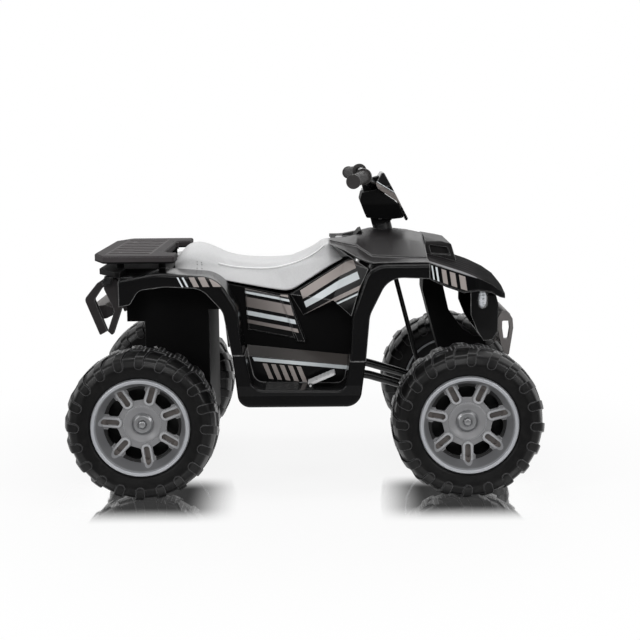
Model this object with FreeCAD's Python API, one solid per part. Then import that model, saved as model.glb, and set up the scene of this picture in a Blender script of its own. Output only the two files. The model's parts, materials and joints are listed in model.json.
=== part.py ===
import FreeCAD, Part
import math
import os

V = FreeCAD.Vector

# Running gear. All sizes are millimetres; X forward, Y left, Z up, ground at Z = 0.
WHEELBASE = 780.0
TRACK = 535.0
TYRE_RADIUS = 182.5
TYRE_WIDTH = 150.0
LUG_PROUD = 4.5
LUG_SIDE_PROUD = 3.5
LUG_COUNT = 20
LUG_WIDTH = 21.0
LUG_END_DROP = 39.0
LUG_SKEW = 24.0
CROWN_RIB = 26.0
RIM_RADIUS = 118.5
RIM_HALF = 62.0
RIM_LIP = 68.0
RIM_WALL = 5.0
TYRE_WALL = 7.0
SPOKES = 7
SPOKE_FRONT = 22.0
SPOKE_THICK = 9.0
DISC_RADIUS = 93.0
WINDOW_NEAR = 59.0
WINDOW_FAR = 89.0
SLOT_WIDTH = 14.0
SLOT_WALL = 5.5
DISH_RADIUS = 44.0
DISH_DEPTH = 5.0
WEB_BACK = -30.0
WEB_THICK = 4.0
HUB_RADIUS = 21.0
HUB_INNER = -73.0
HUB_SEAT = 2.0
CAP_RADIUS = 26.0
CAP_PLUG = 18.0
AXLE_RADIUS = 6.0
NUT_RADIUS = 10.4
NUT_THICK = 8.0

# Fits between pieces.
RUN_FIT = 0.05
SNUG = 0.1
GAP = 0.4

# Steering.
COLUMN_BACK = 190.0
COLUMN_Z = 630.0
COLUMN_TILT = 14.46
COLUMN_RADIUS = 6.0
NECK_RISE = 10.0
ARM = 62.0
KINGPIN_Y = 165.0
KINGPIN_RADIUS = 5.0
BOSS_RADIUS = 14.0
BOSS_HALF = 18.0
EAR_THICK = 8.0
TIE_THICK = 5.0
TIE_WIDTH = 16.0
TIE_LIFT = 2.5
PIN_RADIUS = 4.0
PIN_PLAY = 1.0
BUSH_RADIUS = 11.0
BUSH_LENGTH = 24.0
BAR_RADIUS = 11.0
BAR_Z = 738.0
GRIP_RADIUS = 15.0
GRIP_LENGTH = 112.0
GRIP_END_Y = 287.0
GRIP_BACK = 52.0
GRIP_RISE = 19.0

# Chassis and drive.
RAIL_Y = 85.0
RAIL_RADIUS = 11.0
RAIL_RISE = 79.5
LOW_BUSH_RISE = 45.5
BEAM_RADIUS = 12.0
GEARBOX_CLEAR = 6.5
MOTOR_RADIUS = 19.0
MOTOR_LENGTH = 60.0
MOTOR_AHEAD = 92.0
BATTERY_ROOM = 114.0
BATTERY_WIDTH = 100.0
BATTERY_HEIGHT = 96.0

# Body shells.
WALL = 3.5
BODY_HALF = 150.0
FENDER_HALF = 275.0
EDGE_ROUND = 9.0
FLANGE = 44.0
REAR_SEAM_Z = 345.0
FRONT_SEAM_Z = 328.0
FLOOR_RISE = 75.5
FOOT_LOW_RISE = 34.5
LEDGE = 28.0
REAR_LEG_ROOM = 34.5
FRONT_LEG_ROOM = 59.5
SIDE_PROUD = 5.0
HOOD_WALL = 4.0
DASH_HALF = 58.0
DASH_Z = 604.0
TOWER_HALF = 55.0
SEAT_FOAM = 20.0

# Rear load rack.
RACK_Z = 583.0
RACK_DEPTH = 18.0
RACK_SKIN = 6.0
RACK_INSET = 32.0
DECK_Z = 543.0
DECK_LOW = 530.0
POST_RADIUS = 9.0
SCREW_RADIUS = 2.5
SCREW_HEAD = 5.0

# Foot pedal and switches.
PEDAL_LENGTH = 66.0
PEDAL_WIDTH = 50.0
PEDAL_THICK = 6.0
PEDAL_SLOPE = 23.0
PEDAL_AHEAD = 68.0
PEDAL_PIN = 3.0
BUTTON_RADIUS = 9.0
BUTTON_RISE = 4.0
HORN_RADIUS = 6.5

# Values that follow from the sizes above.
REAR_X = -WHEELBASE / 2
FRONT_X = WHEELBASE / 2
WHEEL_Y = TRACK / 2
AXLE_Z = TYRE_RADIUS
STUB_END = WHEEL_Y + HUB_SEAT + NUT_THICK + 3
TILT = math.radians(COLUMN_TILT)
COLUMN_DIR = V(-math.sin(TILT), 0, math.cos(TILT))
ARM_DIR = V(-math.cos(TILT), 0, -math.sin(TILT))
EAR_LOW = AXLE_Z - BOSS_HALF - GAP - EAR_THICK
TIE_Z = EAR_LOW + EAR_THICK + TIE_LIFT
REAR_LEG_X = REAR_X + TYRE_RADIUS + REAR_LEG_ROOM
FRONT_LEG_X = FRONT_X - TYRE_RADIUS - FRONT_LEG_ROOM
COLUMN_X = FRONT_X - COLUMN_BACK
RAIL_Z = AXLE_Z + RAIL_RISE
LOW_BUSH_Z = AXLE_Z + LOW_BUSH_RISE
HIGH_BUSH_Z = COLUMN_Z - 18
FLOOR_Z = AXLE_Z + FLOOR_RISE
FOOT_LOW_Z = AXLE_Z + FOOT_LOW_RISE
GEARBOX_WIDTH = WHEEL_Y + HUB_INNER - BODY_HALF - GEARBOX_CLEAR
PEDAL_X = FRONT_LEG_X - PEDAL_AHEAD - PEDAL_LENGTH
PEDAL_Y = -(BODY_HALF + LEDGE + FENDER_HALF) / 2
SWITCH_X = FRONT_LEG_X - 60
RACK_HALF = FENDER_HALF - RACK_INSET
RACK_REAR = REAR_X - 122
RACK_FRONT = REAR_X + 80
POST_Y = BODY_HALF - 18
POSTS = [(REAR_X + x, y) for x in (-65, 38) for y in (POST_Y, -POST_Y)]


def saddle(share):
    """X at a share of the way along the saddle dip, from above the rear leg to the seat front."""
    return REAR_LEG_X - 17 + (FRONT_LEG_X - REAR_LEG_X - 73) * share


def moved(corners, reach, rise=0.0):
    """Outline corners moved along X and up."""
    return [(corner[0] + reach, corner[1] + rise) + tuple(corner[2:]) for corner in corners]


def place(plane, a, b, level):
    """Point with in-plane coordinates a and b at a level of the third axis."""
    if plane == "xz":
        return V(a, level, b)
    if plane == "xy":
        return V(a, b, level)
    return V(level, a, b)


def outline(plane, corners, level=0.0):
    """Face bounded by (a, b, radius) corners, each one rounded by its own radius."""
    runs = []
    count = len(corners)
    for index, corner in enumerate(corners):
        before = V(*corners[index - 1][:2], 0)
        here = V(*corner[:2], 0)
        after = V(*corners[(index + 1) % count][:2], 0)
        radius = corner[2] if len(corner) > 2 else 0
        come = (here - before).normalize()
        leave = (after - here).normalize()
        turn = come.getAngle(leave)
        if radius > 0 and turn > 1e-3:
            reach = radius * math.tan(turn / 2)
            middle = here + (leave - come).normalize() * (radius / math.cos(turn / 2) - radius)
            runs.append((here - come * reach, middle, here + leave * reach))
        else:
            runs.append((here, None, here))
    edges = []
    for index, (start, middle, end) in enumerate(runs):
        if middle is not None:
            arc = [place(plane, p.x, p.y, level) for p in (start, middle, end)]
            edges.append(Part.Arc(*arc).toShape())
        following = runs[(index + 1) % count][0]
        if end.distanceToPoint(following) > 1e-6:
            ends = [place(plane, p.x, p.y, level) for p in (end, following)]
            edges.append(Part.makeLine(*ends))
    return Part.Face(Part.Wire(edges))


def prism(plane, corners, low, high):
    """Solid between two levels over a rounded outline."""
    return outline(plane, corners, low).extrude(place(plane, 0, 0, high - low))


def turned(profile):
    """Solid of revolution about the Y axis from (y, r, radius) corners."""
    return outline("yz", profile).revolve(V(0, 0, 0), V(0, 1, 0), 360)


def rod(start, end, radius):
    """Round bar between two points."""
    axis = end - start
    return Part.makeCylinder(radius, axis.Length, start, axis)


def block(low, high):
    """Box between two corner points."""
    return Part.makeBox(high[0] - low[0], high[1] - low[1], high[2] - low[2], V(*low))


def bent_bar(points, bend, radius):
    """Round bar through points, with every inner corner bent."""
    edges = []
    last = points[0]
    for before, here, after in zip(points, points[1:], points[2:]):
        come = (here - before).normalize()
        leave = (after - here).normalize()
        turn = come.getAngle(leave)
        reach = bend * math.tan(turn / 2)
        middle = here + (leave - come).normalize() * (bend / math.cos(turn / 2) - bend)
        edges.append(Part.makeLine(last, here - come * reach))
        last = here + leave * reach
        edges.append(Part.Arc(here - come * reach, middle, last).toShape())
    edges.append(Part.makeLine(last, points[-1]))
    ring = Part.Wire(Part.makeCircle(radius, points[0], points[1] - points[0]))
    return Part.Wire(edges).makePipeShell([ring], True, False)


def offset_path(corners, depth):
    """Open path of (a, b, radius) corners moved to its right by a depth."""
    lines = []
    for first, second in zip(corners, corners[1:]):
        way = V(second[0] - first[0], second[1] - first[1], 0).normalize()
        lines.append((V(first[0] + way.y * depth, first[1] - way.x * depth, 0), way))
    path = [(lines[0][0].x, lines[0][0].y)]
    for (p, d), (q, e), corner in zip(lines, lines[1:], corners[1:]):
        cross = d.x * e.y - d.y * e.x
        along = ((q.x - p.x) * e.y - (q.y - p.y) * e.x) / cross
        radius = corner[2] if len(corner) > 2 else 0
        radius = max(radius + depth * (1 if cross > 0 else -1), 0)
        path.append((p.x + d.x * along, p.y + d.y * along, radius))
    last = V(*corners[-1][:2], 0) + V(lines[-1][1].y, -lines[-1][1].x, 0) * depth
    return path + [(last.x, last.y)]


def inset(corners, depth):
    """Closed clockwise outline moved inwards by a depth."""
    ring = corners[-1:] + corners + corners[:1]
    return offset_path(ring, depth)[1:-1]


def stretched(path, reach):
    """Open path made longer at both ends."""
    first, second = V(*path[0][:2], 0), V(*path[1][:2], 0)
    before, last = V(*path[-2][:2], 0), V(*path[-1][:2], 0)
    start = first + (first - second).normalize() * reach
    end = last + (last - before).normalize() * reach
    return [(start.x, start.y)] + path[1:-1] + [(end.x, end.y)]


def mirrored(shape):
    """Copy of a shape on the other side of the centre plane."""
    return shape.mirror(V(0, 0, 0), V(0, 1, 0))


def spread(shape, count, axis, phase=0.0):
    """Copies of a shape set evenly around an axis through the origin."""
    copies = []
    for index in range(count):
        copy = shape.copy()
        copy.rotate(V(0, 0, 0), axis, phase + 360.0 * index / count)
        copies.append(copy)
    return copies


def facets(triangles, thickness):
    """Panel of flat triangles, each one given a thickness along Y."""
    pieces = []
    for corners in triangles:
        points = [V(*corner) for corner in corners]
        face = Part.Face(Part.makePolygon(points + points[:1]))
        pieces.append(face.extrude(V(0, -thickness, 0)))
    return pieces[0].multiFuse(pieces[1:]).removeSplitter()


def arch_section(x, half, wall):
    """Closed arch-shaped wire at one X, from (y, z) points listed from the centre outwards."""
    outer = [(-y, z) for y, z in reversed(half)] + [(y, z) for y, z in half[1:]]
    inward = [(max(y - wall * 0.8, 0), z - wall) for y, z in half]
    inner = [(-y, z) for y, z in reversed(inward)] + [(y, z) for y, z in inward[1:]]
    points = [V(x, y, z) for y, z in outer + inner[::-1]]
    return Part.makePolygon(points + points[:1])


def column_point(z):
    """Point of the steering axis at a height."""
    return V(COLUMN_X + (COLUMN_Z - z) * math.tan(TILT), 0, z)


def tyre_section(side, crown):
    """Tyre profile between the bead and the given side and crown."""
    bore = RIM_RADIUS + SNUG
    upper = [(RIM_HALF - 2, bore), (side - 6, bore + 6, 4), (side, bore + 28, 18)]
    upper += [(side - 6.5, crown - 10, 16), (side - 32, crown, 40)]
    return upper + [(-corner[0],) + corner[1:] for corner in reversed(upper)]


def tyre_hollow(side, crown):
    """Air space of the tyre, open towards the rim between the beads."""
    bore = RIM_RADIUS
    inner_side, inner_crown = side - TYRE_WALL, crown - TYRE_WALL
    upper = [(RIM_HALF - 2 * TYRE_WALL, bore), (inner_side, bore + 28, 14)]
    upper += [(inner_side - 6, inner_crown - 8, 12), (inner_side - 30, inner_crown, 30)]
    return upper + [(-corner[0],) + corner[1:] for corner in reversed(upper)]


def tyre():
    """Tyre with a crown rib and slanted lugs that run over both shoulders onto the sidewalls."""
    half = TYRE_WIDTH / 2
    carcass = turned(tyre_section(half - LUG_SIDE_PROUD, TYRE_RADIUS - LUG_PROUD))
    envelope = turned(tyre_section(half, TYRE_RADIUS))
    w = LUG_WIDTH / 2
    foot = TYRE_RADIUS - LUG_END_DROP
    finger = [(-w, foot, w), (w, foot, w), (w, TYRE_RADIUS + 8), (-w, TYRE_RADIUS + 8)]
    lug = outline("xz", finger, half + 5).extrude(V(LUG_SKEW, -(half + 1), 0)).common(envelope)
    lugs = spread(lug, LUG_COUNT, V(0, 1, 0))
    lugs += spread(mirrored(lug), LUG_COUNT, V(0, 1, 0), 180.0 / LUG_COUNT)
    c = CROWN_RIB / 2
    low, crown = TYRE_RADIUS - 2 * LUG_PROUD, TYRE_RADIUS - 0.5
    lugs.append(turned([(-c, low), (-c, crown - 2), (3 - c, crown), (c - 3, crown), (c, crown - 2), (c, low)]))
    body = carcass.multiFuse(lugs)
    return body.cut(turned(tyre_hollow(half - LUG_SIDE_PROUD, TYRE_RADIUS - LUG_PROUD)))


def rim():
    """Moulded wheel: barrel with lip, dished spoke disc with windows, closed back web and hub."""
    inner = RIM_RADIUS - RIM_WALL
    mouth = RIM_RADIUS - 11
    back = SPOKE_FRONT - SPOKE_THICK
    bore = AXLE_RADIUS + RUN_FIT
    cap_seat = SPOKE_FRONT - DISH_DEPTH
    profile = [(HUB_INNER, bore), (HUB_INNER, HUB_RADIUS, 2), (WEB_BACK, HUB_RADIUS), (WEB_BACK, inner)]
    profile += [(-RIM_HALF, inner), (-RIM_HALF, RIM_RADIUS), (RIM_HALF, RIM_RADIUS)]
    profile += [(RIM_LIP, RIM_RADIUS - 2.5, 2), (RIM_LIP, mouth + 1, 2), (RIM_LIP - 6, mouth, 3)]
    profile += [(SPOKE_FRONT, DISC_RADIUS, 3), (SPOKE_FRONT, DISH_RADIUS + 2), (SPOKE_FRONT + 2, DISH_RADIUS + 1)]
    profile += [(SPOKE_FRONT + 2, DISH_RADIUS - 1), (cap_seat, CAP_RADIUS + 4), (cap_seat, CAP_PLUG)]
    profile += [(HUB_SEAT, CAP_PLUG), (HUB_SEAT, bore)]
    taper = (mouth - DISC_RADIUS) / (RIM_LIP - 6 - SPOKE_FRONT)
    shoulder = DISC_RADIUS + RIM_WALL
    cavity = [(WEB_BACK + WEB_THICK, HUB_RADIUS), (back, HUB_RADIUS), (back, shoulder)]
    cavity += [(back + (inner - shoulder) / taper, inner), (WEB_BACK + WEB_THICK, inner)]
    body = turned(profile).cut(turned(cavity))
    half_pitch = math.pi / SPOKES
    near, far = WINDOW_NEAR, WINDOW_FAR
    near_w = near * math.tan(half_pitch) - SLOT_WIDTH / 2 - SLOT_WALL - 3
    far_w = far * math.tan(half_pitch) - SLOT_WIDTH / 2 - SLOT_WALL - 6
    window = [(-near_w, near, 5), (-far_w, far - 7, 7), (0, far, 45), (far_w, far - 7, 7), (near_w, near, 5)]
    hole = prism("xz", window, back - 3, SPOKE_FRONT + 6)
    w = SLOT_WIDTH / 2
    low, high = DISH_RADIUS + SLOT_WALL + 5, DISC_RADIUS - 5
    slot = [(-w, low, w), (w, low, w), (w, high, w), (-w, high, w)]
    o = w + SLOT_WALL
    wall = [(-o, low - SLOT_WALL, o), (o, low - SLOT_WALL, o), (o, DISC_RADIUS + 3), (-o, DISC_RADIUS + 3)]
    raised = prism("xz", wall, SPOKE_FRONT - 2, SPOKE_FRONT + 4)
    recess = prism("xz", slot, SPOKE_FRONT - 4, SPOKE_FRONT + 12)
    step = V(0, 1, 0)
    body = body.cut(Part.makeCompound(spread(hole, SPOKES, step, 180.0 / SPOKES)))
    body = body.multiFuse(spread(raised, SPOKES, step))
    return body.cut(Part.makeCompound(spread(recess, SPOKES, step)))


def hub_cap():
    """Domed cap with a groove round its centre, plugged into the hub over the axle nut."""
    face = SPOKE_FRONT - DISH_DEPTH
    plug = CAP_PLUG - SNUG
    profile = [(face - 8, plug - 3.4), (face - 8, plug), (face, plug), (face, CAP_RADIUS)]
    profile += [(face + 3, CAP_RADIUS, 1), (face + 8, CAP_RADIUS - 6, 3), (face + 8, 13), (face + 6.5, 12.5)]
    profile += [(face + 6.5, 11), (face + 8, 10.5), (face + 13, 8, 4), (face + 14.5, 0), (face + 4, 0)]
    return turned(profile + [(face + 4, plug - 3.4)])


def hexagon(radius):
    """Six corners on a circle."""
    turns = [math.radians(60 * k) for k in range(6)]
    return [(radius * math.cos(turn), radius * math.sin(turn)) for turn in turns]


def axle_nut():
    """Hexagon nut on the axle end, just clear of the hub seat."""
    nut = prism("xz", hexagon(NUT_RADIUS), HUB_SEAT + GAP, HUB_SEAT + GAP + NUT_THICK)
    return nut.cut(rod(V(0, HUB_SEAT - 5, 0), V(0, HUB_SEAT + NUT_THICK + 5, 0), AXLE_RADIUS))


def at_wheel(shape, x, side, spin=0.0):
    """Wheel piece moved to one wheel position; side is 1 on the left and -1 on the right."""
    piece = shape.copy() if side > 0 else mirrored(shape)
    piece.rotate(V(0, 0, 0), V(0, -1, 0), spin)
    piece.translate(V(x, side * WHEEL_Y, AXLE_Z))
    return piece


def knuckle():
    """Left steering knuckle: two ears, wall, stub axle, collar and steering arm with its pin."""
    x, y, z = FRONT_X, KINGPIN_Y, AXLE_Z
    wall_y = y + BOSS_RADIUS + 4
    ear = [(x - 14, y - 14, 13.9), (x + 14, y - 14, 13.9), (x + 18, wall_y + 2), (x - 18, wall_y + 2)]
    low, high = EAR_LOW, z + BOSS_HALF + GAP
    arm = [(x - ARM - 9, y - 9, 8.9), (x + 8, y - 9), (x + 8, y + 9), (x - ARM - 9, y + 9, 8.9)]
    plate = [(x - 20, low, 3), (x - 20, high + EAR_THICK, 3), (x + 20, high + EAR_THICK, 3), (x + 20, low, 3)]
    hub_face = WHEEL_Y + HUB_INNER
    pieces = [prism("xy", ear, low, low + EAR_THICK), prism("xy", ear, high, high + EAR_THICK)]
    pieces += [prism("xy", arm, low, low + EAR_THICK), prism("xz", plate, wall_y, wall_y + 7)]
    pieces += [rod(V(x, wall_y + 2, z), V(x, hub_face - GAP, z), AXLE_RADIUS + 5)]
    pieces += [rod(V(x, wall_y + 2, z), V(x, STUB_END, z), AXLE_RADIUS)]
    pin_top = TIE_Z + TIE_THICK + 7
    pieces += [rod(V(x - ARM, y, low), V(x - ARM, y, pin_top), PIN_RADIUS)]
    pieces += [rod(V(x - ARM, y, pin_top - 3), V(x - ARM, y, pin_top), PIN_RADIUS + 3)]
    body = pieces[0].multiFuse(pieces[1:])
    return body.cut(rod(V(x, y, low - 1), V(x, y, high + EAR_THICK + 1), KINGPIN_RADIUS + RUN_FIT))


def kingpin_bolt():
    """Left kingpin: a bolt down through both ears and the beam boss, with head and nut."""
    top = AXLE_Z + BOSS_HALF + GAP + EAR_THICK + GAP
    low = EAR_LOW - GAP
    here = V(FRONT_X, KINGPIN_Y, 0)
    shank = rod(here + V(0, 0, low - 8), here + V(0, 0, top), KINGPIN_RADIUS)
    flats = moved(hexagon(KINGPIN_RADIUS + 4), FRONT_X, KINGPIN_Y)
    return shank.multiFuse([prism("xy", flats, top, top + 6), prism("xy", flats, low - 7, low)])


def pitman_pin():
    """Point of the pitman pin axis level with the tie bar."""
    z = TIE_Z + TIE_THICK / 2
    return column_point(z + ARM * math.sin(TILT)) + ARM_DIR * ARM


def tie_rod():
    """Bent flat bar between both knuckle arms, turning on the pitman pin at its middle."""
    middle = pitman_pin()
    w = TIE_WIDTH / 2
    end_x, end_y = FRONT_X - ARM, KINGPIN_Y
    way = V(end_x - middle.x, end_y, 0).normalize()
    side = V(way.y, -way.x, 0)
    tip = V(end_x, end_y, 0) + way * w
    front, back = tip + side * w, tip - side * w
    shift = w / way.y
    round_end = w - 0.1
    bar = [(middle.x + shift, 0, 20), (front.x, front.y, round_end), (back.x, back.y, round_end)]
    bar += [(middle.x - shift, 0, 30), (back.x, -back.y, round_end), (front.x, -front.y, round_end)]
    flat = prism("xy", bar, TIE_Z, TIE_Z + TIE_THICK)
    boss = rod(middle - COLUMN_DIR * 7, middle + COLUMN_DIR * 7, PIN_RADIUS + 6)
    body = flat.fuse(boss).cut(rod(middle - COLUMN_DIR * 20, middle + COLUMN_DIR * 20, PIN_RADIUS + RUN_FIT))
    for sign in (1, -1):
        hole = V(end_x, sign * end_y, TIE_Z)
        body = body.cut(rod(hole - V(0, 0, 5), hole + V(0, 0, 15), PIN_RADIUS + PIN_PLAY))
    return body


def steering_column():
    """Column rod with the pitman plate and its pin at the lower end."""
    middle = pitman_pin()
    foot = middle - ARM_DIR * ARM + COLUMN_DIR * 8
    top = column_point(BAR_Z - BAR_RADIUS - 3)
    plate = [(-11, -13, 10), (ARM + 10, -10, 9.9), (ARM + 10, 10, 9.9), (-11, 13, 10)]
    flat = prism("xy", plate, 0, 6)
    flat.rotate(V(0, 0, 0), V(0, 0, 1), 180)
    flat.rotate(V(0, 0, 0), V(0, 1, 0), -COLUMN_TILT)
    flat.translate(foot)
    pin = rod(middle + COLUMN_DIR * 9, middle - COLUMN_DIR * 12, PIN_RADIUS)
    clip = rod(middle - COLUMN_DIR * 11.5, middle - COLUMN_DIR * 8.5, PIN_RADIUS + 3)
    return rod(foot, top, COLUMN_RADIUS).multiFuse([flat, pin, clip])


def bush(z):
    """Column bush with a running bore at a height."""
    middle = column_point(z)
    reach = COLUMN_DIR * (BUSH_LENGTH / 2)
    shell = rod(middle - reach, middle + reach, BUSH_RADIUS)
    return shell.cut(rod(middle - reach * 2, middle + reach * 2, COLUMN_RADIUS + RUN_FIT))


def bush_seat(z, grow):
    """Cylinder around the column that a bush sits in."""
    middle = column_point(z)
    reach = COLUMN_DIR * (BUSH_LENGTH / 2 + grow)
    return rod(middle - reach, middle + reach, BUSH_RADIUS + grow)


def front_subframe():
    """Welded front frame: two rails, axle beam with kingpin bosses, and the column plate."""
    pieces = []
    for sign in (1, -1):
        y = sign * RAIL_Y
        stations = [(saddle(0.605), RAIL_Z), (FRONT_X - 240, RAIL_Z), (FRONT_X - 140, RAIL_Z - 30), (FRONT_X, AXLE_Z)]
        pieces.append(bent_bar([V(x, y, z) for x, z in stations], 160, RAIL_RADIUS))
        boss = V(FRONT_X, sign * KINGPIN_Y, AXLE_Z)
        pieces.append(rod(boss - V(0, 0, BOSS_HALF), boss + V(0, 0, BOSS_HALF), BOSS_RADIUS))
    pieces.append(rod(V(FRONT_X, -KINGPIN_Y, AXLE_Z), V(FRONT_X, KINGPIN_Y, AXLE_Z), BEAM_RADIUS))
    x = column_point(LOW_BUSH_Z).x
    pieces.append(block((x - 26, -RAIL_Y - 4, LOW_BUSH_Z - 12), (x + 26, RAIL_Y + 4, LOW_BUSH_Z - 5)))
    pieces.append(bush_seat(LOW_BUSH_Z, 4).common(block((x - 40, -40, 0), (x + 40, 40, LOW_BUSH_Z + 8))))
    body = pieces[0].multiFuse(pieces[1:])
    body = body.cut(bush_seat(LOW_BUSH_Z, 0))
    body = body.cut(rod(column_point(LOW_BUSH_Z - 40), column_point(LOW_BUSH_Z + 40), COLUMN_RADIUS + 2))
    for sign in (1, -1):
        hole = V(FRONT_X, sign * KINGPIN_Y, 0)
        body = body.cut(rod(hole, hole + V(0, 0, 2 * AXLE_Z), KINGPIN_RADIUS))
    return body


def bar_points(reach):
    """Handlebar centre line from one end to the other, each grip end at the given |Y|."""
    c = column_point(BAR_Z)
    run = GRIP_LENGTH + 6
    inner = V(c.x - GRIP_BACK * 0.42, reach - run, BAR_Z + GRIP_RISE + 8)
    left = [V(c.x - GRIP_BACK, reach, BAR_Z + GRIP_RISE), inner, V(c.x, 40, BAR_Z)]
    return left + [V(p.x, -p.y, p.z) for p in reversed(left)]


def handlebar():
    """Bent handlebar tube."""
    return bent_bar(bar_points(GRIP_END_Y - 4), 45, BAR_RADIUS)


def grip(sign):
    """Rubber grip with an end disc, ribs and an inner flange."""
    points = bar_points(GRIP_END_Y - 4)
    end, inner = (points[0], points[1]) if sign > 0 else (points[-1], points[-2])
    way = (inner - end).normalize()
    body = rod(end - way * 4, end + way * GRIP_LENGTH, GRIP_RADIUS)
    body = body.fuse(rod(end + way * (GRIP_LENGTH - 7), end + way * GRIP_LENGTH, GRIP_RADIUS + 5))
    body = body.fuse(rod(end - way * 4, end + way * 3, GRIP_RADIUS + 2))
    for k in range(9):
        place_at = end + way * (14 + 9.5 * k)
        groove = rod(place_at, place_at + way * 4, GRIP_RADIUS + 2)
        body = body.cut(groove.cut(rod(place_at, place_at + way * 4, GRIP_RADIUS - 1)))
    return body.cut(rod(end, end + way * (GRIP_LENGTH + 10), BAR_RADIUS))


def neck_body():
    """Leaning block around the top of the column, before it is bored."""
    low, top = column_point(COLUMN_Z + NECK_RISE), column_point(BAR_Z + 15)
    body = prism("xy", [(-24, -26, 8), (-24, 26, 8), (27, 26, 8), (27, -26, 8)], 0, (top - low).Length)
    body.rotate(V(0, 0, 0), V(0, 1, 0), -COLUMN_TILT)
    body.translate(low)
    return body.cut(visor())


def neck_block(column, bar):
    """Block that clamps the handlebar to the column, with a cross bolt hole."""
    bolt = column_point(COLUMN_Z + 24)
    hole = rod(bolt - V(0, 40, 0), bolt + V(0, 40, 0), 3.2)
    return neck_body().cut(Part.makeCompound([column, bar, hole]))


COWL_SIDE = [(-59, -38, 10), (-54, -18, 6), (-16, -11, 4), (36, -46, 3), (58, -83, 8), (22, -87), (-42, -83, 6)]
COWL_FRONT = [(-40, -98, 14), (-66, -48, 12), (-60, -3, 6), (60, -3, 6), (66, -48, 12), (40, -98, 14)]
VISOR_SIDE = [(-14, -8, 3), (-19, 3, 3), (-4, 30, 3), (3, 30, 3), (65, -88, 4), (58, -93, 3), (38, -44, 3)]
VISOR_FRONT = [(-30, -98, 10), (-60, -48, 10), (-78, -3, 12), (-52, 34, 10), (52, 34, 10), (78, -3, 12)]
VISOR_FRONT += [(60, -48, 10), (30, -98, 10)]
COWL_REACH = 100.0
HORN = V(COLUMN_X - 46, 46, BAR_Z - 26)


def cowl_form(side, front):
    """Solid with the given outlines from the side and from the front, around the handlebar."""
    across = prism("xz", moved(side, COLUMN_X, BAR_Z), -COWL_REACH, COWL_REACH)
    return across.common(prism("yz", moved(front, 0, BAR_Z), COLUMN_X - COWL_REACH, COLUMN_X + COWL_REACH))


def cowl():
    """Handlebar cover, hollow and open below, with the horn button hole in its top."""
    inner_side = [(a * 0.93, b - 4.5) for a, b, *_ in COWL_SIDE]
    inner = cowl_form(inner_side, [(a * 0.92, b) for a, b, *_ in COWL_FRONT])
    inner = inner.fuse(inner.translated(V(0, 0, -6)))
    shell = cowl_form(COWL_SIDE, COWL_FRONT).cut(inner)
    shield = prism("xz", moved(VISOR_SIDE, COLUMN_X, BAR_Z), -COWL_REACH, COWL_REACH)
    shell = shell.cut(Part.makeCompound([neck_body(), shield]))
    shell = shell.cut(bent_bar(bar_points(GRIP_END_Y - 4), 45, BAR_RADIUS + 1))
    return shell.cut(rod(HORN - V(0, 0, 22), HORN + V(0, 0, 28), HORN_RADIUS + GAP))


def visor():
    """Slanted shield in front of the cowl."""
    return cowl_form(VISOR_SIDE, VISOR_FRONT)


def horn_button():
    """Round button that slides in the top of the cowl."""
    return rod(HORN, HORN + V(0, 0, 9.5 + BUTTON_RISE), HORN_RADIUS)


def below(path):
    """Closed outline between a wheel-arch path and the corner on its wheel side."""
    first, last = path[0], path[-1]
    corner = (first[0], last[1]) if first[1] > last[1] else (last[0], first[1])
    return path + [corner]


def fender(top, low):
    """Left wheel-arch moulding: top skin, outer skirt and inner flange between two edge lines."""
    region = below(top)
    corner = region[-1]
    outer = prism("xz", region, BODY_HALF, FENDER_HALF)
    rim_edges = []
    for edge in outer.Edges:
        box = edge.BoundBox
        closing = max(abs(box.XMin - corner[0]), abs(box.XMax - corner[0])) < 0.1
        closing = closing or max(abs(box.ZMin - corner[1]), abs(box.ZMax - corner[1])) < 0.1
        if box.YMin > FENDER_HALF - 0.1 and not closing:
            rim_edges.append(edge)
    outer = outer.makeFillet(EDGE_ROUND, rim_edges)
    hollow = below(stretched(offset_path(top, WALL), 30))
    flange_cut = below(stretched(offset_path(top, FLANGE), 30))
    wheel_space = below(stretched(low, 30))
    body = outer.cut(prism("xz", hollow, BODY_HALF + WALL, FENDER_HALF - WALL))
    body = body.cut(prism("xz", flange_cut, BODY_HALF - 1, BODY_HALF + WALL + 1))
    return body.cut(prism("xz", wheel_space, BODY_HALF + WALL, FENDER_HALF + 1))


REAR_TOP = [(REAR_X - 50, 527), (REAR_X + 45, 545, 150), (REAR_LEG_X - 32, 534, 75)]
REAR_TOP += [(REAR_LEG_X + 15, 458, 60), (REAR_LEG_X + 26, REAR_SEAM_Z)]
REAR_LOW = [(REAR_X - 60, 463), (REAR_X - 23, 470, 10), (REAR_X - 2, 504, 25), (REAR_X + 62, 512, 120)]
REAR_LOW += [(REAR_LEG_X - 70, 507, 55), (REAR_LEG_X - 20, 452, 40), (REAR_LEG_X, REAR_SEAM_Z)]
FRONT_TOP = [(FRONT_LEG_X - 38, FRONT_SEAM_Z), (FRONT_LEG_X - 32, 440, 120), (FRONT_LEG_X + 10, 560, 55)]
FRONT_TOP += [(FRONT_X - 90, 561)]
FRONT_LOW = [(FRONT_LEG_X, FRONT_SEAM_Z), (FRONT_LEG_X + 10, 440, 70), (FRONT_LEG_X + 55, 530, 55)]
FRONT_LOW += [(FRONT_X - 90, 526)]


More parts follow.
